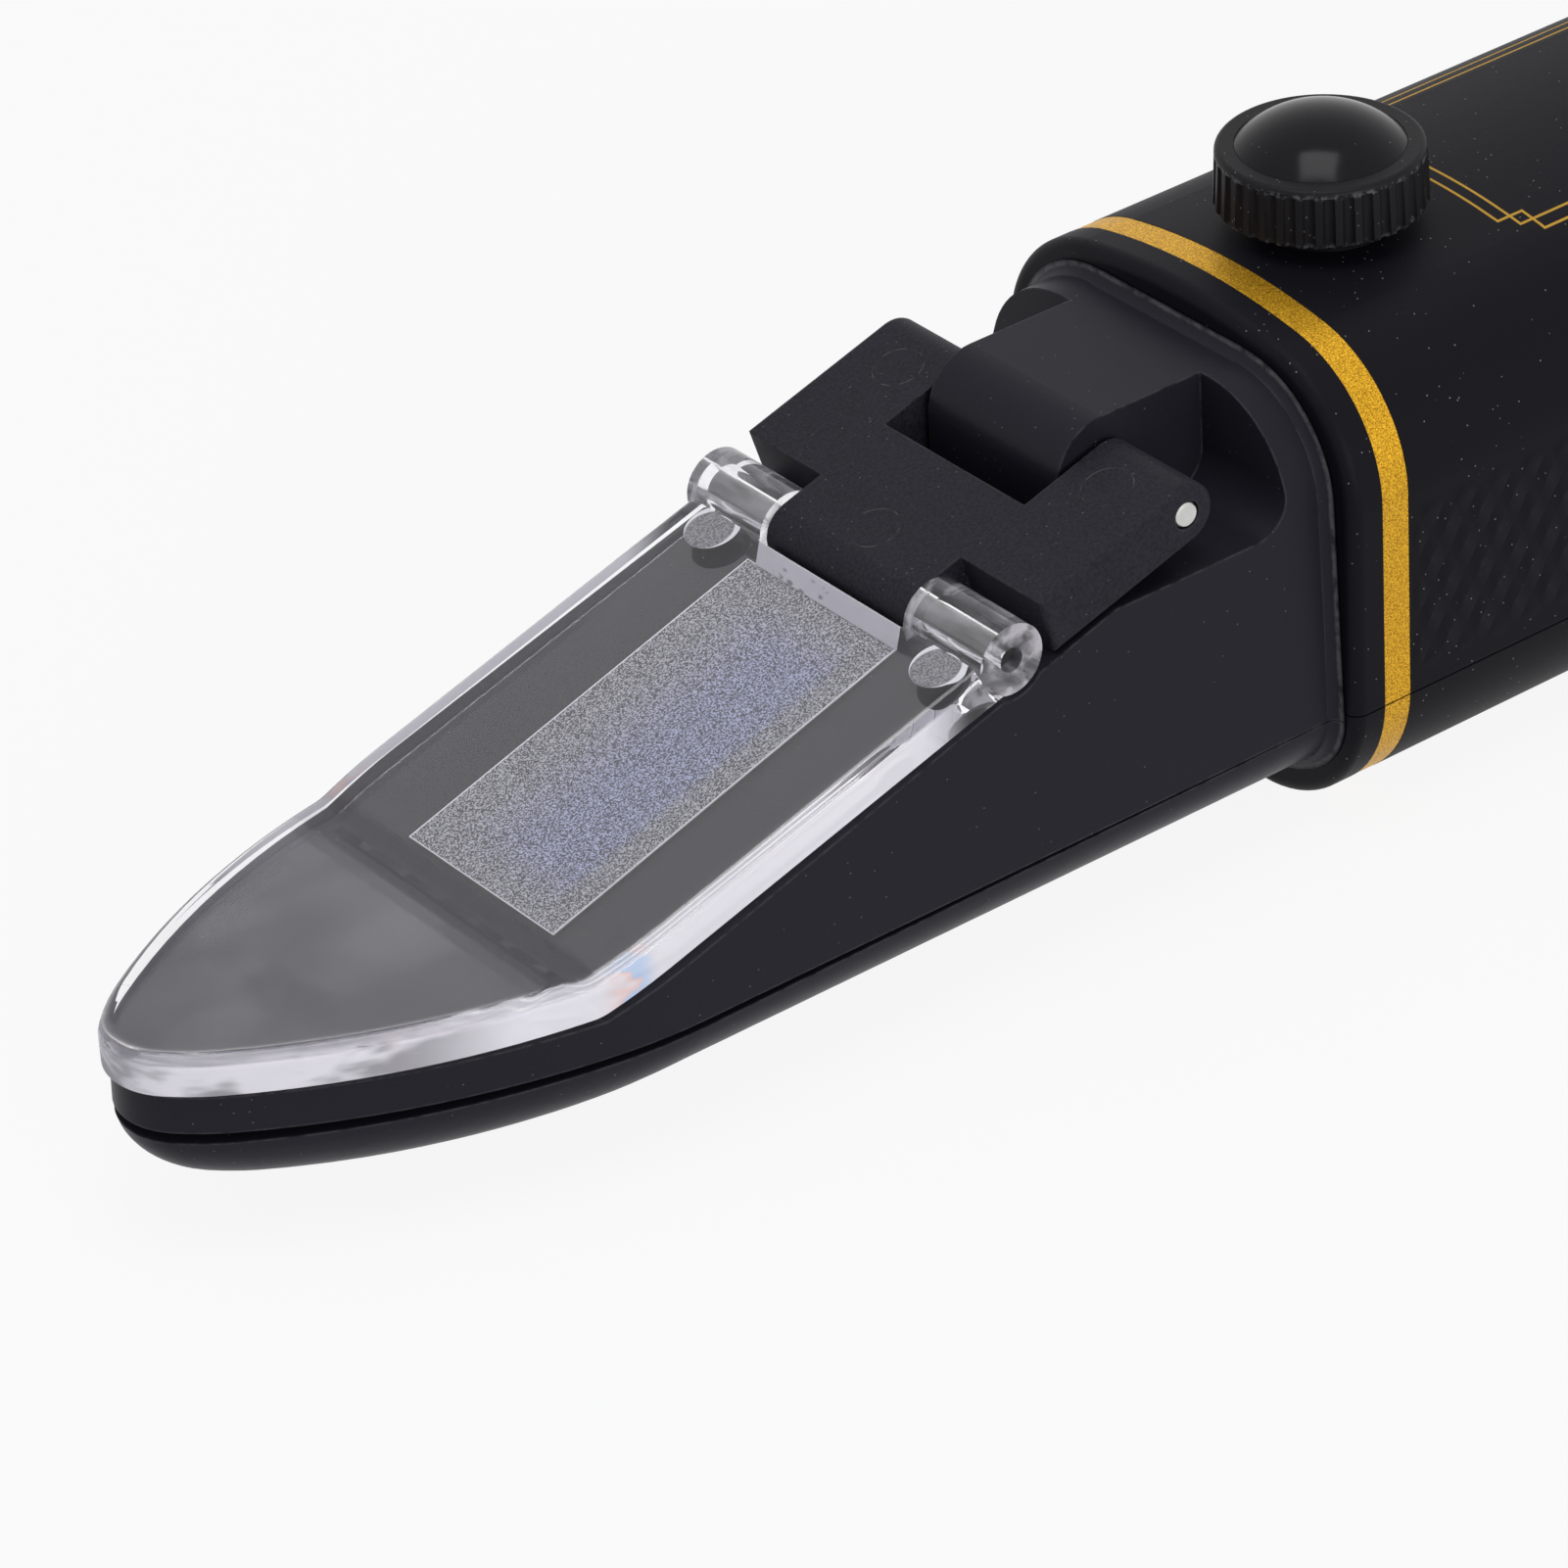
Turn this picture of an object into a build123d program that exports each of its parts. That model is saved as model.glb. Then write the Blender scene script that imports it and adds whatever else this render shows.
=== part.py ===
from build123d import *
from math import asin, atan2, cos, hypot, radians, sin, sqrt, tan
import os

os.makedirs("parts", exist_ok=True)

# All lengths are in millimetres and all angles in degrees.
# A station is a distance from the tip of the clear plate towards the eyepiece, along +X.
# A height is measured from the flat base. The frame's origin is under the middle of the whole length.

# Overall
overall_length = 188.0
eyepiece_length = 37.7
running_fit = 0.05
seat_fit = 0.03
gap = 0.3

# Grip body
body_width = 30.0
body_height = 29.8
body_crown = 2.64
body_base_corner = 8.3
body_crown_corner = 8.4
body_front_round = 0.8
body_rear_round = 4.0
body_wall = 1.8
body_end_wall = 3.0
seam_height = 7.95
seam_gap = 0.1

# Gold band let into the body
band_offset = 2.2
band_width = 1.9
band_depth = 0.2
band_sink = 0.02

# Nose, from the tip of its bow to the front face of the body
nose_tip = 0.4
collar = 73.25
nose_inset = 1.6
nose_draft = 2.3
nose_base = 2.6
nose_round = 7.0
nose_chin = 7.0
nose_wall = 1.7
nose_crown = 2.2
nose_shoulder_round = 6.5
nose_flare = 0.8
nose_seam_drop = 0.5
nose_seam_droop = 0.6
bow_deck = 9.7
nose_seat = 1.0
neck_side_inset = 2.6
neck_inset = 3.6
neck_corner = 4.5
neck_wall = 1.8
flange_thickness = 1.5
bow_tip_round = 4.2
bow_tip_turn = 42.0
bow_cheek_round = 14.0
bow_cheek_turn = 14.0
bow_side_turn = 24.0
hull_steps = 5

# Hinge line: the rear pin, and how the link and plate lie at rest
crease_station = 22.73
rear_pin_station = 63.3
rear_pin_radius = 0.8
hump_drop = 2.35
hump_round = 3.15
hump_half_width = 5.6
pocket_depth = 3.8
pocket_setback = 2.75
pocket_round = 2.3
deck_drop = 2.1

# Hinge link
pin_spacing = 13.2
link_thickness = 3.7
link_side_inset = 0.1
link_slot_half = 6.08
link_slot_end = 5.6
link_ear = 10.4
link_round = 0.35
pin_edge = 0.15
plate_pin_radius = 0.7
plate_pin_recess = 0.8

# Daylight plate
plate_inset = 0.5
plate_thickness = 2.45
plate_drop = 1.75
plate_bow_rise = 0.3
plate_rim_round = 0.9
plate_crease_round = 3.0
plate_knuckle_radius = 2.15
plate_knuckle_gap = 0.22
plate_slot_end = 15.35
knuckle_relief = 0.35

# Measuring prism, its gasket and the clamp under it
prism_centre = 29.4
prism_length = 20.0
prism_side_inset = 8.4
prism_proud = 0.15
prism_edge = 0.25
prism_floor_rise = 0.35
gasket_width = 0.8
clamp_along = 22.5
clamp_length = 8.0
clamp_inset = 2.8
clamp_thickness = 0.8
clamp_corner = 1.5
clamp_screw_inset = 5.0
clamp_screw_length = 4.0
boss_radius = 2.2
socket_margin = 0.6

# Calibration knob on top of the body
knob_setback = 11.15
knob_radius = 6.05
knob_height = 3.6
knob_lift = 1.1
knob_web = 1.2
knob_draft = 0.08
knob_flutes = 34
knob_flute_radius = 0.36
knob_flute_margin = 0.08
knob_flute_stop = 0.45
knob_top_round = 0.35
knob_foot_round = 0.25
dome_radius = 4.85
dome_height = 2.0
cap_seat = 0.3
neck_radius = 4.0
neck_lift = 0.8
spindle_radius = 2.0
spindle_thread_radius = 1.45
spindle_depth = 3.9
spindle_thread_length = 3.5
spindle_thread_pitch = 0.5
spindle_thread_cut = 0.12
clip_radius = 3.2
clip_thickness = 0.6

# Lens carriage, which the spindle raises and lowers on two posts
carriage_length = 7.0
carriage_ring_radius = 8.0
carriage_half_width = 10.7
carriage_ear_height = 7.0
carriage_boss_width = 7.0
carriage_corner = 1.2
carriage_top_drop = 4.8
post_half = 8.6
post_radius = 1.5
post_drop = 4.3
guide_foot_height = 1.2
guide_base_clearance = 1.9
guide_base_length = 7.0
guide_base_half = 10.1
guide_base_corner = 1.4
post_edge = 0.3
foot_half = 6.0
objective_radius = 6.15
objective_edge = 1.6
objective_bulge = 0.9
objective_lip = 0.8
lens_ring_length = 1.2
lens_ring_wall = 0.9

lens_land = 1.0

# Scale disc in its holder
holder_setback = 26.3
holder_length = 8.0
holder_radius = 10.5
reticle_radius = 8.0
reticle_thickness = 1.5
reticle_rim = 0.9
reticle_lip = 3.5

# Light baffle behind the nose
baffle_setback = 5.35
baffle_thickness = 1.2
baffle_hole = 5.5

# Eyepiece: setbacks are behind the body's rear face, margins are from one radius to the next
socket_flange = 4.0
neck_tube_inset = 2.9
neck_tube_length = 15.7
neck_tube_wall = 1.6
barrel_wall = 1.35
barrel_reach = 4.8
barrel_setback = 24.1
barrel_flange_setback = 18.3
barrel_flange_margin = 0.2
barrel_flange_length = 2.0
barrel_lip = 1.0
focus_travel = 2.0
focus_clip_setback = 13.8
focus_clip_thickness = 0.7
focus_clip_wall = 0.8
focus_clip_bite = 0.4
focus_ring_setback = 0.9
focus_ring_length = 12.4
focus_ring_wall = 2.2
focus_ring_flutes = 30
focus_flute_radius = 0.7
focus_ring_plain = 1.6
focus_ring_edge = 0.6
guide_pin_setback = 7.1
guide_pin_radius = 0.9
guide_pin_reach = 0.9
field_lens_reach = 3.3
eye_lens_setback = 18.1
ocular_lens_edge = 1.8
ocular_lens_bulge = 1.0
retainer_length = 2.0
eyecup_setback = 16.9
eyecup_front_wall = 1.6
eyecup_rear_wall = 2.6
eyecup_lip = 2.2
eyecup_throat = 8.6
eyecup_throat_lip = 1.17
eyecup_waist = 0.5
eyecup_waist_setback = 6.0
eyecup_flare_length = 2.0
eyecup_flare = 0.15
eyecup_lip_round = 0.9

# Screws
screw_shank = 0.95
screw_head = 2.0
screw_head_height = 1.3
shell_screw_front = 24.75
shell_screw_rear = 12.3
shell_screw_inset = 5.6
shell_screw_sink = 2.2
shell_screw_length = 11.0
nose_screw_setback = 13.25
nose_screw_half = 7.2
nose_screw_sink = 1.0
nose_screw_length = 9.0

# Derived values
body_front = collar
body_rear = overall_length - eyepiece_length
body_length = body_rear - body_front
half_body = body_width / 2
axis_height = body_height / 2
nose_half_width = half_body - nose_inset
nose_top = body_height - hump_drop
nose_seam = seam_height - nose_seam_drop
nose_depth = nose_seam - nose_base
nose_lean = (nose_top - nose_seam) * tan(radians(nose_draft))
nose_rear = collar + nose_seat
pocket_back = collar - pocket_setback
neck_floor = neck_inset
neck_ceiling = body_height - neck_inset
neck_width = body_width - 2 * neck_side_inset
neck_end = collar + body_end_wall + seam_gap
rear_pin_height = nose_top - hump_round
pocket_floor = rear_pin_height - pocket_depth
pin_run = rear_pin_station - crease_station
pin_rise = rear_pin_height - bow_deck
tilt = atan2(pin_rise, pin_run) - asin(deck_drop / hypot(pin_run, pin_rise))
plate_half_width = nose_half_width - plate_inset
link_half_width = plate_half_width - link_side_inset
plate_pin_half = plate_half_width - plate_pin_recess
knob_station = collar + knob_setback
knob_base = body_height + knob_lift
neck_top = body_height + neck_lift
spindle_shoulder = body_height - spindle_depth
spindle_tip = spindle_shoulder - spindle_thread_length
spindle_bore = spindle_radius + running_fit
carriage_top = body_height - carriage_top_drop
post_top = body_height - post_drop
guide_base_bottom = body_wall + guide_foot_height
guide_base_top = axis_height - carriage_ring_radius - guide_base_clearance
holder_station = body_rear - holder_setback
baffle_station = collar + baffle_setback
shell_screw_tip = shell_screw_sink + screw_head_height + shell_screw_length
shell_screw_half = half_body - shell_screw_inset
shell_screw_stations = (collar + shell_screw_front, body_rear - shell_screw_rear)
nose_screw_station = collar - nose_screw_setback
nose_screw_seat = nose_base + nose_screw_sink + screw_head_height
nose_post_top = nose_seam - seam_gap - nose_seam_droop * (collar - nose_screw_station) / collar
prism_station = rear_pin_station + deck_drop * sin(tilt) - prism_centre * cos(tilt)
prism_run = prism_length * cos(tilt)
prism_front = prism_station - prism_run / 2
prism_back = prism_station + prism_run / 2
prism_floor = seam_height + prism_floor_rise
prism_half_width = nose_half_width - prism_side_inset
clamp_station = rear_pin_station - clamp_along * cos(tilt)
clamp_top = prism_floor
clamp_half_width = nose_half_width - clamp_inset
clamp_screw_half = nose_half_width - clamp_screw_inset
neck_tube_radius = min(body_width, body_height) / 2 - neck_tube_inset
neck_tube_end = body_rear + neck_tube_length
barrel_radius = neck_tube_radius - neck_tube_wall - running_fit
bore = barrel_radius - barrel_wall
barrel_front = body_rear - barrel_reach
barrel_rear = body_rear + barrel_setback
barrel_flange_station = body_rear + barrel_flange_setback
barrel_flange_radius = neck_tube_radius + barrel_flange_margin
focus_clip_station = body_rear + focus_clip_setback
focus_ring_front = body_rear + focus_ring_setback
focus_ring_rear = focus_ring_front + focus_ring_length
focus_ring_radius = neck_tube_radius + focus_ring_wall
guide_pin_station = body_rear + guide_pin_setback
guide_pin_end = neck_tube_radius + guide_pin_reach
field_lens_station = body_rear - field_lens_reach
eye_lens_station = body_rear + eye_lens_setback
lens_rim = bore - seat_fit
spacer_front = field_lens_station + ocular_lens_edge
retainer_front = eye_lens_station + ocular_lens_edge
eyecup_front = body_rear + eyecup_setback
eyecup_front_radius = neck_tube_radius + eyecup_front_wall
eyecup_rear_radius = neck_tube_radius + eyecup_rear_wall
eyecup_lip_inner = eyecup_rear_radius - eyecup_lip
eyecup_throat_station = barrel_rear + eyecup_throat_lip


def at(station):
    """Frame X of a station."""
    return station - overall_length / 2


def on_flap(along, above):
    """Station and height of a point on the closed flap: along it from the rear pin, and above the pins."""
    station = rear_pin_station - along * cos(tilt) - above * sin(tilt)
    height = rear_pin_height - along * sin(tilt) + above * cos(tilt)
    return station, height


def flap_xz(along, above):
    """The same point in the frame's X and Z."""
    station, height = on_flap(along, above)
    return at(station), height


def slope_station(height, drop):
    """Station where a plane parallel to the pin line, and a drop below it, has this height."""
    return rear_pin_station - (rear_pin_height - drop / cos(tilt) - height) / tan(tilt)


# The flap seen from its side: x runs along it towards the tip, y stands on it
flap_side = Plane(
    origin=(at(rear_pin_station), 0, rear_pin_height),
    x_dir=(-cos(tilt), 0, -sin(tilt)),
    z_dir=(0, 1, 0),
)


def flap_face(along, above):
    """Plane that lies on the flap at this point, facing up from it."""
    x, z = flap_xz(along, above)
    return Plane(origin=(x, 0, z), x_dir=(-cos(tilt), 0, -sin(tilt)), z_dir=(-sin(tilt), 0, cos(tilt)))


def body_section(inset):
    """Section of the grip: flat base, crowned top and large round corners."""
    spring = body_height - body_crown
    with BuildSketch() as section:
        with BuildLine():
            ThreePointArc((-half_body, spring), (0, body_height), (half_body, spring))
            Polyline((half_body, spring), (half_body, 0), (-half_body, 0), (-half_body, spring))
        make_face()
        fillet(section.vertices().group_by(Axis.Y)[0], body_base_corner)
        fillet(section.vertices().group_by(Axis.Y)[-1], body_crown_corner)
        if inset:
            offset(amount=-inset)
    return section.sketch


def bow_outline(tip, half_width, full_width, rear):
    """Plan of the boat-shaped front: four arcs a side, tangent to each other, then straight sides."""
    scale = half_width / full_width
    tip_heading = radians(90 - bow_tip_turn)
    cheek_heading = radians(90 - bow_tip_turn - bow_cheek_turn)
    side_heading = radians(90 - bow_tip_turn - bow_cheek_turn - bow_side_turn)
    tip_round = bow_tip_round * scale
    cheek_round = bow_cheek_round * scale
    shoulder_round = 2 * cheek_round
    reach = tip_round * cos(tip_heading)
    reach += cheek_round * (cos(cheek_heading) - cos(tip_heading))
    reach += shoulder_round * (1 - cos(side_heading))
    side_round = (half_width - reach) / (cos(side_heading) - cos(cheek_heading))
    shoulder_turn = 90 - bow_tip_turn - bow_cheek_turn - bow_side_turn
    with BuildSketch() as plan:
        with BuildLine():
            nose_arc = JernArc((at(tip), 0), (0, -1), tip_round, bow_tip_turn)
            cheek = JernArc(nose_arc @ 1, nose_arc % 1, cheek_round, bow_cheek_turn)
            side = JernArc(cheek @ 1, cheek % 1, side_round, bow_side_turn)
            shoulder = JernArc(side @ 1, side % 1, shoulder_round, shoulder_turn)
            straight = Line(shoulder @ 1, (at(rear), -half_width))
            Line(straight @ 1, (at(rear), 0))
            mirror(about=Plane.XZ)
        make_face()
    return plan.sketch


def neck_section(inset):
    """Rounded rectangle of the neck that joins the nose to the body, drawn in by an inset."""
    with BuildSketch() as section:
        with Locations((0, (neck_floor + neck_ceiling) / 2)):
            RectangleRounded(
                neck_width - 2 * inset, neck_ceiling - neck_floor - 2 * inset, neck_corner - inset
            )
    return section.sketch


def nose_plan(inset, rear):
    """Plan of the nose, drawn in by an inset."""
    return bow_outline(nose_tip + inset, nose_half_width - inset, nose_half_width, rear)


def nose_section(grow):
    """Section of the nose at the collar: flat over the hump, falling shoulders, leaning sides and a bowl."""
    edge = nose_half_width + grow
    top = nose_top + grow
    spring_half = edge - nose_lean
    spring = top - nose_crown
    flat = nose_half_width - nose_round
    with BuildSketch() as section:
        with BuildLine():
            TangentArc((-hump_half_width, top), (-spring_half, spring), tangent=(-1, 0))
            Line((-hump_half_width, top), (hump_half_width, top))
            TangentArc((hump_half_width, top), (spring_half, spring), tangent=(1, 0))
            Line((spring_half, spring), (edge, nose_seam))
            EllipticalCenterArc(
                (flat, nose_seam), nose_round + grow, nose_depth + grow, start_angle=-90, arc_size=90
            )
            Line((flat, nose_base - grow), (-flat, nose_base - grow))
            EllipticalCenterArc(
                (-flat, nose_seam), nose_round + grow, nose_depth + grow, start_angle=180, arc_size=90
            )
            Line((-edge, nose_seam), (-spring_half, spring))
        make_face()
        shoulders = section.vertices().filter_by(lambda v: abs(v.Y - spring) < seat_fit)
        fillet(shoulders, nose_shoulder_round + grow)
    return section.sketch


def upper_hull(inset, rear):
    """Drafted block with a crowned top that the upper nose is cut from."""
    with BuildPart() as hull:
        with BuildSketch(Plane.XY.offset(nose_seam)):
            add(nose_plan(inset, rear))
        with BuildSketch(Plane.XY.offset(nose_top)):
            add(nose_plan(inset + nose_lean, rear))
        loft(ruled=True)
        with BuildSketch(Plane.YZ.offset(at(0))):
            add(nose_section(seat_fit - inset))
        extrude(amount=overall_length, mode=Mode.INTERSECT)
    return hull.part


def lower_hull(inset, rear):
    """Bowl of the lower nose: the plan shrinks along a quarter round down to the flat bottom."""
    depth = nose_depth - inset
    with BuildPart() as hull:
        for step in range(hull_steps + 1):
            angle = radians(90 * step / hull_steps)
            side_pinch = inset + nose_round * (1 - cos(angle))
            tip_pinch = inset + nose_chin * (1 - cos(angle))
            half_width = nose_half_width - side_pinch
            with BuildSketch(Plane.XY.offset(nose_seam - depth * sin(angle))):
                add(bow_outline(nose_tip + tip_pinch, half_width, nose_half_width, rear))
        loft()
    return hull.part


def collar_flare():
    """Concave flare where the nose runs out to meet the front face of the body."""
    with BuildPart() as flare:
        for step in range(hull_steps + 1):
            angle = radians(90 * step / hull_steps)
            station = collar - seam_gap - nose_flare * (1 - cos(angle))
            with BuildSketch(Plane.YZ.offset(at(station))):
                add(nose_section(nose_flare * (1 - sin(angle)) - seat_fit))
        loft()
    return flare.part


def nose_hollow():
    """Space inside the upper nose: under the slope, under the pockets, and up behind them."""
    ceiling = pocket_floor - nose_wall
    with BuildPart() as hollow:
        add(upper_hull(nose_wall, nose_rear - nose_seat))
        with BuildSketch(Plane.XZ):
            with BuildLine():
                Polyline(
                    (at(slope_station(nose_seam, deck_drop + nose_wall)), nose_seam),
                    (at(slope_station(ceiling, deck_drop + nose_wall)), ceiling),
                    (at(pocket_back + nose_wall), ceiling),
                    (at(pocket_back + nose_wall), nose_seam),
                    (at(slope_station(nose_seam, deck_drop + nose_wall)), nose_seam),
                )
            make_face()
        extrude(amount=body_width, both=True, mode=Mode.INTERSECT)
    return hollow.part


def cap_point(radius, rise):
    """Half-way point of a dome's section: distance from its axis, and height above its rim."""
    sphere = (radius * radius + rise * rise) / (2 * rise)
    return radius / 2, rise - sphere + sqrt(sphere * sphere - radius * radius / 4)


def lens_blank(radius, edge, bulge, front):
    """Lens with two bulged faces and a flat rim land, its front rim at a station on the optical axis."""
    land = radius - lens_land
    half_way, sag = cap_point(land, bulge)
    x0 = at(front)
    x1 = x0 + edge
    with BuildPart() as lens:
        with BuildSketch(Plane.XZ):
            with BuildLine():
                ThreePointArc(
                    (x0, axis_height + land), (x0 - sag, axis_height + half_way), (x0 - bulge, axis_height)
                )
                Line((x0 - bulge, axis_height), (x1 + bulge, axis_height))
                ThreePointArc(
                    (x1 + bulge, axis_height), (x1 + sag, axis_height + half_way), (x1, axis_height + land)
                )
                Polyline(
                    (x1, axis_height + land),
                    (x1, axis_height + radius),
                    (x0, axis_height + radius),
                    (x0, axis_height + land),
                )
            make_face()
        revolve(axis=Axis((0, 0, axis_height), (1, 0, 0)))
    return lens.part


def axial_ring(outer, inner, front, length):
    """Ring, or a plain disc, on the optical axis."""
    with BuildPart() as ring:
        with BuildSketch(Plane.YZ.offset(at(front))):
            with Locations((0, axis_height)):
                Circle(outer)
                if inner:
                    Circle(inner, mode=Mode.SUBTRACT)
        extrude(amount=length)
    return ring.part


def save(piece, label):
    """Name a finished piece and write it."""
    piece.label = label
    export_step(piece, "parts/" + label + ".step")


def deck_height(station, lift):
    """Height of a surface parallel to the nose's slope, this much above it, at a station."""
    return bow_deck + (station - crease_station) * tan(tilt) + lift


def screw(length, centre, seat, heading):
    """Pan-head screw with a cross recess; its head's bearing face is at the seat height."""
    x, y = centre
    with BuildPart() as fastener:
        with BuildSketch(Plane((x, y, seat), z_dir=(0, 0, heading))):
            Circle(screw_shank)
        extrude(amount=length)
        with BuildSketch(Plane((x, y, seat), z_dir=(0, 0, -heading))):
            Circle(screw_head)
        extrude(amount=screw_head_height)
        fillet(fastener.faces().sort_by(Axis.Z, reverse=heading < 0)[0].edges(), screw_head_height * 0.4)
        with BuildSketch(Plane((x, y, seat - heading * screw_head_height), z_dir=(0, 0, heading))):
            Rectangle(screw_head * 1.2, screw_head * 0.26)
            Rectangle(screw_head * 0.26, screw_head * 1.2)
        extrude(amount=screw_head_height * 0.6, mode=Mode.SUBTRACT)
    return fastener.part


# Grip body, whole, before it is parted along the seam
with BuildPart() as housing:
    with BuildSketch(Plane.YZ.offset(at(body_front))):
        add(body_section(0))
    extrude(amount=body_length)
    fillet(housing.faces().sort_by(Axis.X)[0].edges(), body_front_round)
    fillet(housing.faces().sort_by(Axis.X)[-1].edges(), body_rear_round)
    # raised ring that the knob turns on
    with BuildSketch(Plane.XY.offset(body_height - body_wall)):
        with Locations((at(knob_station), 0)):
            Circle(neck_radius)
    extrude(amount=neck_top - body_height + body_wall)
    # groove of the gold band
    with BuildSketch(Plane.YZ.offset(at(body_front + band_offset))):
        add(body_section(0))
        add(body_section(band_depth), mode=Mode.SUBTRACT)
    extrude(amount=band_width, mode=Mode.SUBTRACT)
    # hollow between the end walls
    with BuildSketch(Plane.YZ.offset(at(body_front + body_end_wall))):
        add(body_section(body_wall))
    extrude(amount=body_length - 2 * body_end_wall, mode=Mode.SUBTRACT)
    # boss under the knob
    with BuildSketch(Plane.XY.offset(spindle_shoulder + clip_thickness + gap)):
        with Locations((at(knob_station), 0)):
            Circle(neck_radius)
    extrude(amount=body_height - body_wall / 2 - spindle_shoulder - clip_thickness - gap)
    with BuildSketch(Plane.XY.offset(spindle_tip)):
        with Locations((at(knob_station), 0)):
            Circle(spindle_bore)
    extrude(amount=neck_top - spindle_tip, mode=Mode.SUBTRACT)
    # round way in the rear wall for the eyepiece
    with BuildSketch(Plane.YZ.offset(at(body_rear - body_end_wall))):
        with Locations((0, axis_height)):
            Circle(neck_tube_radius + seat_fit)
    extrude(amount=body_end_wall, mode=Mode.SUBTRACT)
    # seat and neck opening for the nose in the front wall
    add(upper_hull(-seat_fit, nose_rear + seam_gap), mode=Mode.SUBTRACT)
    add(lower_hull(-seat_fit, nose_rear + seam_gap), mode=Mode.SUBTRACT)
    with BuildSketch(Plane.YZ.offset(at(body_front))):
        add(neck_section(-seat_fit))
    extrude(amount=body_end_wall, mode=Mode.SUBTRACT)

screw_places = [(at(s), side * shell_screw_half) for s in shell_screw_stations for side in (-1, 1)]

with BuildPart() as body_upper_shell:
    add(housing.part)
    split(bisect_by=Plane.XY.offset(seam_height + seam_gap / 2), keep=Keep.TOP)
    # posts that take the shell screws, drawn up to the ceiling
    with BuildSketch(Plane.XY.offset(seam_height + seam_gap / 2)):
        with Locations(*screw_places):
            Circle(boss_radius)
    extrude(until=Until.NEXT)
    with BuildSketch(Plane.XY.offset(seam_height)):
        with Locations(*screw_places):
            Circle(screw_shank + seat_fit)
    extrude(amount=shell_screw_tip + gap - seam_height, mode=Mode.SUBTRACT)

with BuildPart() as body_lower_shell:
    add(housing.part)
    split(bisect_by=Plane.XY.offset(seam_height - seam_gap / 2), keep=Keep.BOTTOM)
    # sockets under the posts
    with BuildSketch(Plane.XY.offset(seam_height - seam_gap / 2)):
        with Locations(*screw_places):
            Circle(boss_radius)
    extrude(until=Until.NEXT, dir=(0, 0, -1))
    with BuildSketch(Plane.XY):
        with Locations(*screw_places):
            Circle(screw_shank + seat_fit)
    extrude(amount=seam_height, mode=Mode.SUBTRACT)
    with BuildSketch(Plane.XY):
        with Locations(*screw_places):
            Circle(screw_head + seat_fit)
    extrude(amount=shell_screw_sink + screw_head_height, mode=Mode.SUBTRACT)

# Gold band, in two halves parted where the shells part
with BuildPart() as gold_band:
    with BuildSketch(Plane.YZ.offset(at(body_front + band_offset))):
        add(body_section(band_sink))
        add(body_section(band_depth), mode=Mode.SUBTRACT)
    extrude(amount=band_width)
    with Locations((at(body_front + band_offset), 0, seam_height)):
        Box(4 * band_width, 2 * body_width, seam_gap, mode=Mode.SUBTRACT)

nose_screw_places = [(at(nose_screw_station), side * nose_screw_half) for side in (-1, 1)]
clamp_places = [(at(clamp_station), side * clamp_screw_half) for side in (-1, 1)]

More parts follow.
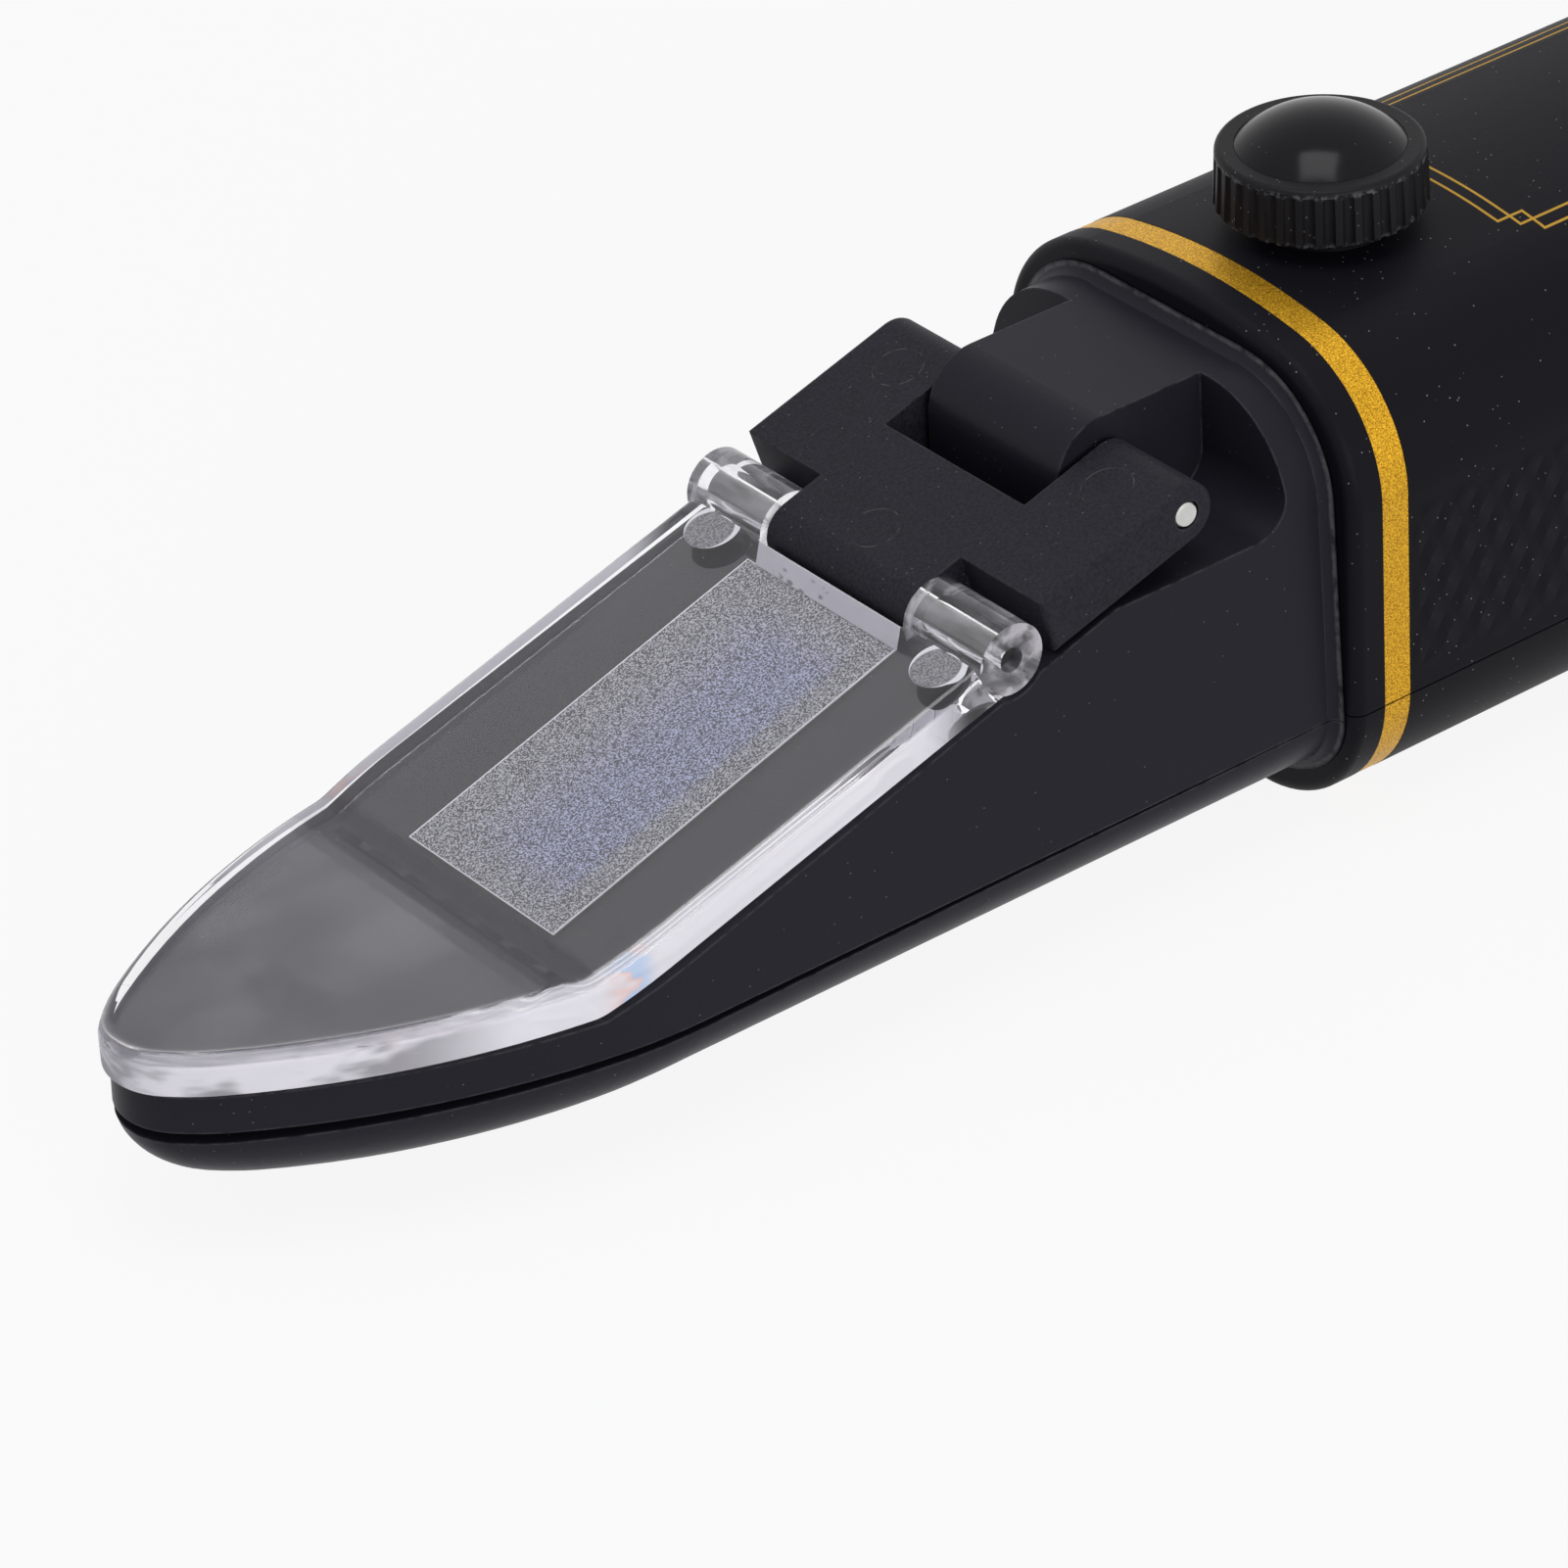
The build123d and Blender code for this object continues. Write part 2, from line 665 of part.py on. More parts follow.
# Profile of the upper nose seen from the side: bow deck, slope, hump with its rounded top
hump_front = rear_pin_station - hump_round
with BuildPart() as nose_upper:
    add(upper_hull(0, nose_rear))
    with BuildSketch(Plane.XZ):
        with BuildLine():
            Polyline(
                (at(rear_pin_station), nose_top),
                (at(nose_rear), nose_top),
                (at(nose_rear), nose_seam),
                (at(nose_tip - 1), nose_seam),
                (at(nose_tip - 1), bow_deck),
                (at(crease_station), bow_deck),
                (at(hump_front), deck_height(hump_front, 0)),
                (at(hump_front), rear_pin_height),
            )
            RadiusArc((at(hump_front), rear_pin_height), (at(rear_pin_station), nose_top), hump_round)
        make_face()
    extrude(amount=body_width, both=True, mode=Mode.INTERSECT)
    add(collar_flare())
    # pockets each side of the hump, where the link's arms lie
    for side in (-1, 1):
        with BuildSketch(Plane.XZ.offset(side * (hump_half_width + body_width / 2))):
            with BuildLine():
                Polyline(
                    (at(pocket_back), pocket_floor + pocket_round),
                    (at(pocket_back), nose_top + 1),
                    (at(hump_front - pocket_round), nose_top + 1),
                    (at(slope_station(pocket_floor, deck_drop)), pocket_floor),
                    (at(pocket_back - pocket_round), pocket_floor),
                )
                RadiusArc(
                    (at(pocket_back - pocket_round), pocket_floor),
                    (at(pocket_back), pocket_floor + pocket_round),
                    -pocket_round,
                )
            make_face()
        extrude(amount=body_width / 2, both=True, mode=Mode.SUBTRACT)
    # groove that clears the plate's knuckles, and the bore of the rear pin
    with BuildSketch(flap_side):
        with Locations((pin_spacing, 0)):
            Circle(plate_knuckle_radius + knuckle_relief)
        Circle(rear_pin_radius + seat_fit)
    extrude(amount=body_width, both=True, mode=Mode.SUBTRACT)
    # neck and flange that the two body shells close round
    with BuildSketch(Plane.YZ.offset(at(nose_rear))):
        add(neck_section(0))
    extrude(amount=neck_end - nose_rear)
    with BuildSketch(Plane.YZ.offset(at(neck_end))):
        add(body_section(body_wall + seam_gap))
    extrude(amount=flange_thickness)
    with BuildSketch(Plane.XY.offset(nose_seam)):
        Rectangle(2 * overall_length, 2 * body_width)
    extrude(amount=-body_height, mode=Mode.SUBTRACT)
    # hollow under the slope, and the way for the light through the neck
    add(nose_hollow(), mode=Mode.SUBTRACT)
    with BuildSketch(Plane.YZ.offset(at(pocket_back + nose_wall))):
        add(neck_section(neck_wall))
    extrude(amount=neck_end + flange_thickness - pocket_back - nose_wall, mode=Mode.SUBTRACT)
    # window for the prism and its gasket
    with BuildSketch(Plane.XY.offset(nose_seam)):
        with Locations((at(prism_station), 0)):
            Rectangle(prism_run + 2 * gasket_width, 2 * (prism_half_width + gasket_width))
    extrude(amount=body_height, mode=Mode.SUBTRACT)
    # posts for the clamp screws and the nose screws
    with BuildSketch(Plane.XY.offset(clamp_top)):
        with Locations(*clamp_places):
            Circle(boss_radius)
    extrude(until=Until.NEXT)
    with BuildSketch(Plane.XY.offset(nose_seam + seam_gap / 2)):
        with Locations(*nose_screw_places):
            Circle(boss_radius)
    extrude(until=Until.NEXT)
    with BuildSketch(Plane.XY.offset(clamp_top)):
        with Locations(*clamp_places):
            Circle(screw_shank + seat_fit)
    extrude(amount=clamp_screw_length - clamp_thickness + gap, mode=Mode.SUBTRACT)
    with BuildSketch(Plane.XY.offset(nose_seam)):
        with Locations(*nose_screw_places):
            Circle(screw_shank + seat_fit)
    extrude(amount=nose_screw_seat + nose_screw_length + gap - nose_seam, mode=Mode.SUBTRACT)

with BuildPart() as nose_lower:
    add(lower_hull(0, nose_rear))
    add(collar_flare())
    with BuildSketch(Plane.YZ.offset(at(nose_rear))):
        add(neck_section(0))
    extrude(amount=neck_end - nose_rear)
    with BuildSketch(Plane.YZ.offset(at(neck_end))):
        add(body_section(body_wall + seam_gap))
    extrude(amount=flange_thickness)
    add(lower_hull(nose_wall, pocket_back), mode=Mode.SUBTRACT)
    with BuildSketch(Plane.YZ.offset(at(pocket_back - nose_wall))):
        add(neck_section(neck_wall))
    extrude(amount=neck_end + flange_thickness - pocket_back + nose_wall, mode=Mode.SUBTRACT)
    # the seam opens a little towards the tip
    with BuildSketch(Plane.XZ):
        with BuildLine():
            Polyline(
                (at(nose_tip - 1), body_height),
                (at(nose_tip - 1), nose_seam - seam_gap - nose_seam_droop),
                (at(collar), nose_seam - seam_gap / 2),
                (at(body_rear), nose_seam - seam_gap / 2),
                (at(body_rear), body_height),
                (at(nose_tip - 1), body_height),
            )
        make_face()
    extrude(amount=body_width, both=True, mode=Mode.SUBTRACT)
    # posts and counterbores of the nose screws
    with BuildSketch(Plane.XY.offset(nose_post_top)):
        with Locations(*nose_screw_places):
            Circle(boss_radius + socket_margin)
    extrude(until=Until.NEXT, dir=(0, 0, -1))
    with BuildSketch(Plane.XY):
        with Locations(*nose_screw_places):
            Circle(screw_shank + seat_fit)
    extrude(amount=nose_seam, mode=Mode.SUBTRACT)
    with BuildSketch(Plane.XY):
        with Locations(*nose_screw_places):
            Circle(screw_head + seat_fit)
    extrude(amount=nose_screw_seat, mode=Mode.SUBTRACT)

# Measuring prism: its polished top stands just above the slope
with BuildPart() as prism:
    with BuildSketch(Plane.XZ):
        with BuildLine():
            Polyline(
                (at(prism_front), prism_floor),
                (at(prism_front), deck_height(prism_front, prism_proud)),
                (at(prism_back), deck_height(prism_back, prism_proud)),
                (at(prism_back), prism_floor),
                (at(prism_front), prism_floor),
            )
        make_face()
    extrude(amount=prism_half_width, both=True)
    chamfer(prism.faces().sort_by(Axis.Z)[-1].edges(), prism_edge)

gasket_length = prism_run + 2 * gasket_width - seat_fit
gasket_across = 2 * (prism_half_width + gasket_width) - seat_fit
with BuildPart() as prism_gasket:
    with BuildSketch(Plane.XY):
        with Locations((at(prism_station), 0)):
            Rectangle(gasket_length, gasket_across)
            Rectangle(prism_run + seat_fit, 2 * prism_half_width + seat_fit, mode=Mode.SUBTRACT)
    extrude(amount=body_height)
    with BuildSketch(Plane.XZ):
        with BuildLine():
            Polyline(
                (at(0), deck_height(0, -nose_wall)),
                (at(0), deck_height(0, seat_fit)),
                (at(collar), deck_height(collar, seat_fit)),
                (at(collar), deck_height(collar, -nose_wall)),
                (at(0), deck_height(0, -nose_wall)),
            )
        make_face()
    extrude(amount=body_width, both=True, mode=Mode.INTERSECT)

with BuildPart() as prism_clamp:
    with BuildSketch(Plane.XY.offset(clamp_top - clamp_thickness)):
        with Locations((at(clamp_station), 0)):
            RectangleRounded(clamp_length, 2 * clamp_half_width, clamp_corner)
        with Locations(*clamp_places):
            Circle(screw_shank + seat_fit, mode=Mode.SUBTRACT)
    extrude(amount=clamp_thickness)

# Hinge link: a flat arm forked at the rear, stepped back at the front corners
link_step_half = link_slot_half + body_width / 2
with BuildPart() as hinge_link:
    with BuildSketch(flap_side):
        with Locations((pin_spacing / 2, 0)):
            SlotCenterToCenter(pin_spacing, link_thickness)
    extrude(amount=link_half_width, both=True)
    with BuildSketch(flap_face(0, 0)):
        with Locations((link_slot_end - pin_spacing, 0)):
            Rectangle(2 * pin_spacing, 2 * link_slot_half)
        with Locations(*[(link_ear + pin_spacing, side * link_step_half) for side in (-1, 1)]):
            Rectangle(2 * pin_spacing, body_width)
    extrude(amount=link_thickness, both=True, mode=Mode.SUBTRACT)
    outer_edges = hinge_link.edges().filter_by(GeomType.LINE).filter_by(
        lambda e: abs(abs(e.center().Y) - link_half_width) < 0.01
    )
    fillet(outer_edges, link_round)
    with BuildSketch(flap_side):
        Circle(rear_pin_radius + running_fit)
        with Locations((pin_spacing, 0)):
            Circle(plate_pin_radius + seat_fit)
    extrude(amount=body_width, both=True, mode=Mode.SUBTRACT)

with BuildPart() as rear_hinge_pin:
    with BuildSketch(flap_side):
        Circle(rear_pin_radius)
    extrude(amount=link_half_width, both=True)
    chamfer(rear_hinge_pin.edges().filter_by(GeomType.CIRCLE), pin_edge)

with BuildPart() as plate_hinge_pin:
    with BuildSketch(flap_side):
        with Locations((pin_spacing, 0)):
            Circle(plate_pin_radius)
    extrude(amount=plate_pin_half, both=True)

# Daylight plate: the clear flap that lies over the prism and runs out flat over the bow
plate_rise = plate_thickness - plate_drop
plate_bow = bow_deck + plate_bow_rise
rear_top = flap_xz(pin_spacing, plate_rise)
rear_under = flap_xz(pin_spacing, -plate_drop)


def on_plate_rim(edge):
    """True for the edges round the plate's top face, away from its middle line."""
    middle = edge.center()
    slope_under = rear_under[1] - (rear_under[0] - middle.X) * tan(tilt)
    underside = max(plate_bow, slope_under)
    return abs(middle.Y) > plate_rim_round / 2 and middle.Z > underside + 0.75 * plate_thickness


with BuildPart() as daylight_plate:
    with BuildSketch(Plane.XY):
        add(bow_outline(0, plate_half_width, plate_half_width, rear_pin_station))
    extrude(amount=2 * body_height)
    with BuildSketch(Plane.XZ) as flap_profile:
        with BuildLine():
            Polyline(
                rear_top,
                (at(slope_station(plate_bow + plate_thickness, -plate_rise)), plate_bow + plate_thickness),
                (at(-1), plate_bow + plate_thickness),
                (at(-1), plate_bow),
                (at(slope_station(plate_bow, plate_drop)), plate_bow),
                rear_under,
                rear_top,
            )
        make_face()
        corners = flap_profile.vertices()
        kinks = corners.filter_by(lambda v: abs(v.X - at(crease_station)) < plate_thickness)
        fillet(kinks, plate_crease_round)
    extrude(amount=body_width, both=True, mode=Mode.INTERSECT)
    rim = daylight_plate.edges().filter_by(on_plate_rim)
    fillet(rim, plate_rim_round)
    with BuildSketch(flap_side):
        with Locations((pin_spacing, 0)):
            Circle(plate_knuckle_radius)
    extrude(amount=plate_half_width, both=True)
    with BuildSketch(flap_face(0, 0)):
        with Locations((0, 0)):
            Rectangle(2 * plate_slot_end, 2 * (link_slot_half + plate_knuckle_gap))
    extrude(amount=pin_spacing, both=True, mode=Mode.SUBTRACT)
    with BuildSketch(flap_side):
        with Locations((pin_spacing, 0)):
            Circle(plate_pin_radius + running_fit)
    extrude(amount=body_width, both=True, mode=Mode.SUBTRACT)

# Calibration knob: a fluted ring with a domed cap, on a stepped spindle
with BuildPart() as calibration_knob:
    with BuildSketch(Plane.XY.offset(knob_base)):
        with Locations((at(knob_station), 0)):
            Circle(knob_radius + knob_draft)
    with BuildSketch(Plane.XY.offset(knob_base + knob_height)):
        with Locations((at(knob_station), 0)):
            Circle(knob_radius - knob_draft)
    loft()
    fillet(calibration_knob.edges().group_by(Axis.Z)[-1], knob_top_round)
    fillet(calibration_knob.edges().group_by(Axis.Z)[0], knob_foot_round)
    with BuildSketch(Plane.XY.offset(knob_base)):
        with Locations((at(knob_station), 0)):
            with PolarLocations(knob_radius + knob_flute_margin, knob_flutes):
                Circle(knob_flute_radius)
    extrude(amount=knob_height - knob_flute_stop, mode=Mode.SUBTRACT)
    with BuildSketch(Plane.XY.offset(knob_base + knob_height - cap_seat)):
        with Locations((at(knob_station), 0)):
            Circle(dome_radius + seat_fit)
    extrude(amount=cap_seat, mode=Mode.SUBTRACT)
    with BuildSketch(Plane.XY.offset(knob_base)):
        with Locations((at(knob_station), 0)):
            Circle(spindle_radius + seat_fit)
    extrude(amount=knob_height - knob_web, mode=Mode.SUBTRACT)

half_way, sag = cap_point(dome_radius, dome_height)
cap_rim = knob_base + knob_height
with BuildPart() as knob_cap:
    with BuildSketch(Plane.XZ):
        with BuildLine():
            Polyline(
                (at(knob_station), cap_rim + dome_height),
                (at(knob_station), cap_rim - cap_seat),
                (at(knob_station) + dome_radius, cap_rim - cap_seat),
                (at(knob_station) + dome_radius, cap_rim),
            )
            ThreePointArc(
                (at(knob_station) + dome_radius, cap_rim),
                (at(knob_station) + half_way, cap_rim + sag),
                (at(knob_station), cap_rim + dome_height),
            )
        make_face()
    revolve(axis=Axis((at(knob_station), 0, 0), (0, 0, 1)))

with BuildPart() as calibration_spindle:
    with BuildSketch(Plane.XY.offset(spindle_shoulder)):
        with Locations((at(knob_station), 0)):
            Circle(spindle_radius)
    extrude(amount=knob_base + knob_height - knob_web - spindle_shoulder)
    with BuildSketch(Plane.XY.offset(spindle_tip)):
        with Locations((at(knob_station), 0)):
            Circle(spindle_thread_radius)
    extrude(amount=spindle_shoulder - spindle_tip)
    # thread shown as fine rings
    with BuildSketch(Plane.XZ):
        for turn in range(1, int(spindle_thread_length / spindle_thread_pitch)):
            ring_height = spindle_tip + turn * spindle_thread_pitch
            with Locations((at(knob_station) + spindle_thread_radius, ring_height)):
                Circle(spindle_thread_cut)
    revolve(axis=Axis((at(knob_station), 0, 0), (0, 0, 1)), mode=Mode.SUBTRACT)

with BuildPart() as knob_washer:
    with BuildSketch(Plane.XY.offset(neck_top)):
        with Locations((at(knob_station), 0)):
            Circle(neck_radius - 0.1)
            Circle(spindle_radius + 2 * running_fit, mode=Mode.SUBTRACT)
    extrude(amount=knob_base - neck_top - running_fit)

with BuildPart() as spindle_clip:
    with BuildSketch(Plane.XY.offset(spindle_shoulder)):
        with Locations((at(knob_station), 0)):
            Circle(clip_radius)
            Circle(spindle_radius + seat_fit, mode=Mode.SUBTRACT)
        with Locations((at(knob_station) + clip_radius, 0)):
            Rectangle(clip_radius, spindle_radius * 1.3, mode=Mode.SUBTRACT)
    extrude(amount=clip_thickness)

# Lens carriage and its lens
with BuildPart() as lens_carriage:
    with BuildSketch(Plane.YZ.offset(at(knob_station) - carriage_length / 2)):
        with Locations((0, axis_height)):
            Circle(carriage_ring_radius)
            RectangleRounded(2 * carriage_half_width, carriage_ear_height, carriage_corner)
        with Locations((0, (axis_height + carriage_top) / 2)):
            Rectangle(carriage_boss_width, carriage_top - axis_height)
        with Locations((0, axis_height)):
            Circle(objective_radius - objective_lip, mode=Mode.SUBTRACT)
    extrude(amount=carriage_length)
    with BuildSketch(Plane.YZ.offset(at(knob_station) - carriage_length / 2 + objective_lip)):
        with Locations((0, axis_height)):
            Circle(objective_radius + seat_fit)
    extrude(amount=carriage_length, mode=Mode.SUBTRACT)
    with BuildSketch(Plane.XY.offset(axis_height - carriage_ear_height)):
        with Locations(*[(at(knob_station), side * post_half) for side in (-1, 1)]):
            Circle(post_radius + running_fit)
    extrude(amount=2 * carriage_ear_height, mode=Mode.SUBTRACT)
    with BuildSketch(Plane.XY.offset(spindle_tip - 1.0)):
        with Locations((at(knob_station), 0)):
            Circle(spindle_thread_radius + running_fit)
    extrude(amount=carriage_top - spindle_tip + 1.0, mode=Mode.SUBTRACT)

objective_front = knob_station - carriage_length / 2 + objective_lip
objective_lens = lens_blank(objective_radius, objective_edge, objective_bulge, objective_front)
lens_ring = axial_ring(
    objective_radius, objective_radius - lens_ring_wall, objective_front + objective_edge, lens_ring_length
)

with BuildPart() as carriage_guide:
    with BuildSketch(Plane.XY.offset(guide_base_bottom)):
        with Locations((at(knob_station), 0)):
            RectangleRounded(guide_base_length, 2 * guide_base_half, guide_base_corner)
    extrude(amount=guide_base_top - guide_base_bottom)
    with BuildSketch(Plane.XY.offset(body_wall)):
        with Locations((at(knob_station), 0)):
            Rectangle(guide_base_length, 2 * foot_half)
    extrude(amount=guide_base_bottom - body_wall)
    with BuildSketch(Plane.XY.offset(guide_base_top)):
        with Locations(*[(at(knob_station), side * post_half) for side in (-1, 1)]):
            Circle(post_radius)
    extrude(amount=post_top - guide_base_top)
    chamfer(carriage_guide.edges().group_by(Axis.Z)[-1], post_edge)

# Scale disc, its holder and its ring
with BuildPart() as reticle_holder:
    with BuildSketch(Plane.YZ.offset(at(holder_station))):
        with Locations((0, axis_height)):
            Circle(holder_radius)
        with Locations((0, (axis_height + body_wall) / 2)):
            Rectangle(2 * foot_half, axis_height - body_wall)
        with Locations((0, axis_height)):
            Circle(reticle_radius - reticle_rim, mode=Mode.SUBTRACT)
    extrude(amount=holder_length)
    with BuildSketch(Plane.YZ.offset(at(holder_station + reticle_lip))):
        with Locations((0, axis_height)):
            Circle(reticle_radius + seat_fit)
    extrude(amount=holder_length, mode=Mode.SUBTRACT)

reticle = axial_ring(reticle_radius, 0, holder_station + reticle_lip, reticle_thickness)
reticle_ring = axial_ring(
    reticle_radius,
    reticle_radius - reticle_rim,
    holder_station + reticle_lip + reticle_thickness,
    holder_length - reticle_lip - reticle_thickness,
)

with BuildPart() as light_baffle:
    with BuildSketch(Plane.YZ.offset(at(baffle_station))):
        add(body_section(body_wall + seat_fit))
        with Locations((0, axis_height)):
            Circle(baffle_hole, mode=Mode.SUBTRACT)
    extrude(amount=baffle_thickness)

# Eyepiece socket: a flange closed in by the shells, and the tube that the barrel slides in
socket_front = body_rear - body_end_wall - socket_flange
with BuildPart() as eyepiece_socket:
    with BuildSketch(Plane.YZ.offset(at(socket_front))):
        add(body_section(body_wall + seam_gap))
    extrude(amount=socket_flange - seam_gap)
    with BuildSketch(Plane.YZ.offset(at(socket_front))):
        with Locations((0, axis_height)):
            Circle(neck_tube_radius)
    extrude(amount=neck_tube_end - socket_front)
    with BuildSketch(Plane.YZ.offset(at(focus_clip_station))):
        with Locations((0, axis_height)):
            Circle(neck_tube_radius)
            Circle(neck_tube_radius - focus_clip_bite, mode=Mode.SUBTRACT)
    extrude(amount=focus_clip_thickness + seam_gap, mode=Mode.SUBTRACT)
    with BuildSketch(Plane.YZ.offset(at(socket_front))):
        with Locations((0, axis_height)):
            Circle(barrel_radius + running_fit)
    extrude(amount=neck_tube_end - socket_front, mode=Mode.SUBTRACT)
    # slot that keeps the guide pin from turning
    with BuildSketch(Plane.XY.offset(axis_height)):
        with Locations((at(guide_pin_station), 0)):
            SlotOverall(2 * (focus_travel + guide_pin_radius + gap), 2 * (guide_pin_radius + running_fit))
    extrude(amount=neck_tube_radius + 1, mode=Mode.SUBTRACT)

focus_clip = axial_ring(
    neck_tube_radius - focus_clip_bite + seat_fit + focus_clip_wall,
    neck_tube_radius - focus_clip_bite + seat_fit,
    focus_clip_station + seam_gap / 2,
    focus_clip_thickness,
)

# Focusing ring: scalloped grip, with a ring groove inside for the guide pin
with BuildPart() as focus_ring:
    with BuildSketch(Plane.YZ.offset(at(focus_ring_front))):
        with Locations((0, axis_height)):
            Circle(focus_ring_radius)
    extrude(amount=focus_ring_rear - focus_ring_front)
    chamfer(focus_ring.edges().filter_by(GeomType.CIRCLE), focus_ring_edge)
    with BuildSketch(Plane.YZ.offset(at(focus_ring_front + focus_ring_plain))):
        with Locations((0, axis_height)):
            with PolarLocations(focus_ring_radius + focus_flute_radius * 0.45, focus_ring_flutes):
                Circle(focus_flute_radius)
    extrude(amount=focus_ring_length - 2 * focus_ring_plain, mode=Mode.SUBTRACT)
    with BuildSketch(Plane.YZ.offset(at(focus_ring_front))):
        with Locations((0, axis_height)):
            Circle(neck_tube_radius + running_fit)
    extrude(amount=focus_ring_rear - focus_ring_front, mode=Mode.SUBTRACT)
    with BuildSketch(Plane.YZ.offset(at(guide_pin_station - focus_travel - guide_pin_radius - gap))):
        with Locations((0, axis_height)):
            Circle(guide_pin_end + gap)
    extrude(amount=2 * (focus_travel + guide_pin_radius + gap), mode=Mode.SUBTRACT)

# Barrel of the eyepiece, with its lenses between a lip and a screwed ring
with BuildPart() as ocular_barrel:
    with BuildSketch(Plane.YZ.offset(at(barrel_front))):
        with Locations((0, axis_height)):
            Circle(barrel_radius)
    extrude(amount=barrel_rear - barrel_front)
    with BuildSketch(Plane.YZ.offset(at(barrel_flange_station))):
        with Locations((0, axis_height)):
            Circle(barrel_flange_radius)
    extrude(amount=barrel_flange_length)
    with BuildSketch(Plane.YZ.offset(at(barrel_front))):
        with Locations((0, axis_height)):
            Circle(bore - barrel_lip)
    extrude(amount=barrel_rear - barrel_front, mode=Mode.SUBTRACT)
    with BuildSketch(Plane.YZ.offset(at(field_lens_station - seat_fit))):
        with Locations((0, axis_height)):
            Circle(bore)
    extrude(amount=barrel_rear - field_lens_station + seat_fit, mode=Mode.SUBTRACT)
    with BuildSketch(Plane.XY.offset(axis_height)):
        with Locations((at(guide_pin_station), 0)):
            Circle(guide_pin_radius + seat_fit)
    extrude(amount=barrel_radius + 1, mode=Mode.SUBTRACT)

with BuildPart() as guide_pin:
    with BuildSketch(Plane.XY.offset(axis_height + bore + seam_gap)):
        with Locations((at(guide_pin_station), 0)):
            Circle(guide_pin_radius)
    extrude(amount=guide_pin_end - bore - seam_gap)

field_lens = lens_blank(lens_rim, ocular_lens_edge, ocular_lens_bulge, field_lens_station)
eye_lens = lens_blank(lens_rim, ocular_lens_edge, ocular_lens_bulge, eye_lens_station)
lens_spacer = axial_ring(lens_rim, lens_rim - reticle_rim, spacer_front, eye_lens_station - spacer_front)
ocular_retainer = axial_ring(lens_rim, lens_rim - reticle_rim, retainer_front, retainer_length)

# Rubber eyecup: a waisted sleeve that grips the barrel's flange in a groove of its own
flange_front = at(barrel_flange_station) - seat_fit
flange_back = at(barrel_flange_station + barrel_flange_length) + seat_fit
eyecup_flare_start = overall_length - eyecup_flare_length
with BuildPart() as eyecup:
    with BuildSketch(Plane.XZ):
        with BuildLine():
            cup = Polyline(
                (at(overall_length), axis_height + eyecup_lip_inner),
                (at(eyecup_throat_station), axis_height + eyecup_throat),
                (at(barrel_rear) + seat_fit, axis_height + eyecup_throat),
                (at(barrel_rear) + seat_fit, axis_height + barrel_radius + seat_fit),
                (flange_back, axis_height + barrel_radius + seat_fit),
                (flange_back, axis_height + barrel_flange_radius + seat_fit),
                (flange_front, axis_height + barrel_flange_radius + seat_fit),
                (flange_front, axis_height + neck_tube_radius + gap),
                (at(eyecup_front), axis_height + neck_tube_radius + gap),
                (at(eyecup_front), axis_height + eyecup_front_radius),
            )
            Spline(
                cup @ 1,
                (at(eyecup_front + eyecup_waist_setback), axis_height + eyecup_front_radius - eyecup_waist),
                (at(eyecup_flare_start), axis_height + eyecup_rear_radius - eyecup_flare),
                (at(overall_length), axis_height + eyecup_rear_radius),
            )
            Line((at(overall_length), axis_height + eyecup_rear_radius), cup @ 0)
        make_face()
    revolve(axis=Axis((0, 0, axis_height), (1, 0, 0)))
    lip_edges = eyecup.edges().filter_by(GeomType.CIRCLE).group_by(Axis.X)[-1]
    fillet(lip_edges, eyecup_lip_round)

# Screws
with BuildPart() as shell_screws:
    for place in screw_places:
        add(screw(shell_screw_length, place, shell_screw_sink + screw_head_height, 1))

with BuildPart() as nose_screws:
    for place in nose_screw_places:
        add(screw(nose_screw_length, place, nose_screw_seat, 1))

with BuildPart() as prism_clamp_screws:
    for place in clamp_places:
        add(screw(clamp_screw_length, place, clamp_top - clamp_thickness, 1))

pieces = {
    "body_upper_shell": body_upper_shell.part,
    "body_lower_shell": body_lower_shell.part,
    "gold_band": gold_band.part,
    "nose_upper": nose_upper.part,
    "nose_lower": nose_lower.part,
    "prism": prism.part,
    "prism_gasket": prism_gasket.part,
    "prism_clamp": prism_clamp.part,
    "prism_clamp_screws": prism_clamp_screws.part,
    "hinge_link": hinge_link.part,
    "rear_hinge_pin": rear_hinge_pin.part,
    "plate_hinge_pin": plate_hinge_pin.part,
    "daylight_plate": daylight_plate.part,
    "calibration_knob": calibration_knob.part,
    "knob_cap": knob_cap.part,
    "calibration_spindle": calibration_spindle.part,
    "knob_washer": knob_washer.part,
    "spindle_clip": spindle_clip.part,
    "lens_carriage": lens_carriage.part,
    "objective_lens": objective_lens,
    "lens_ring": lens_ring,
    "carriage_guide": carriage_guide.part,
    "reticle_holder": reticle_holder.part,
    "reticle": reticle,
    "reticle_ring": reticle_ring,
    "light_baffle": light_baffle.part,
    "eyepiece_socket": eyepiece_socket.part,
    "focus_clip": focus_clip,
    "focus_ring": focus_ring.part,
    "ocular_barrel": ocular_barrel.part,
    "guide_pin": guide_pin.part,
    "field_lens": field_lens,
    "lens_spacer": lens_spacer,
    "eye_lens": eye_lens,
    "ocular_retainer": ocular_retainer,
    "eyecup": eyecup.part,
    "shell_screws": shell_screws.part,
    "nose_screws": nose_screws.part,
}
for label, piece in pieces.items():
    save(piece, label)
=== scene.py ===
import math

import bpy
from mathutils import Matrix, Vector


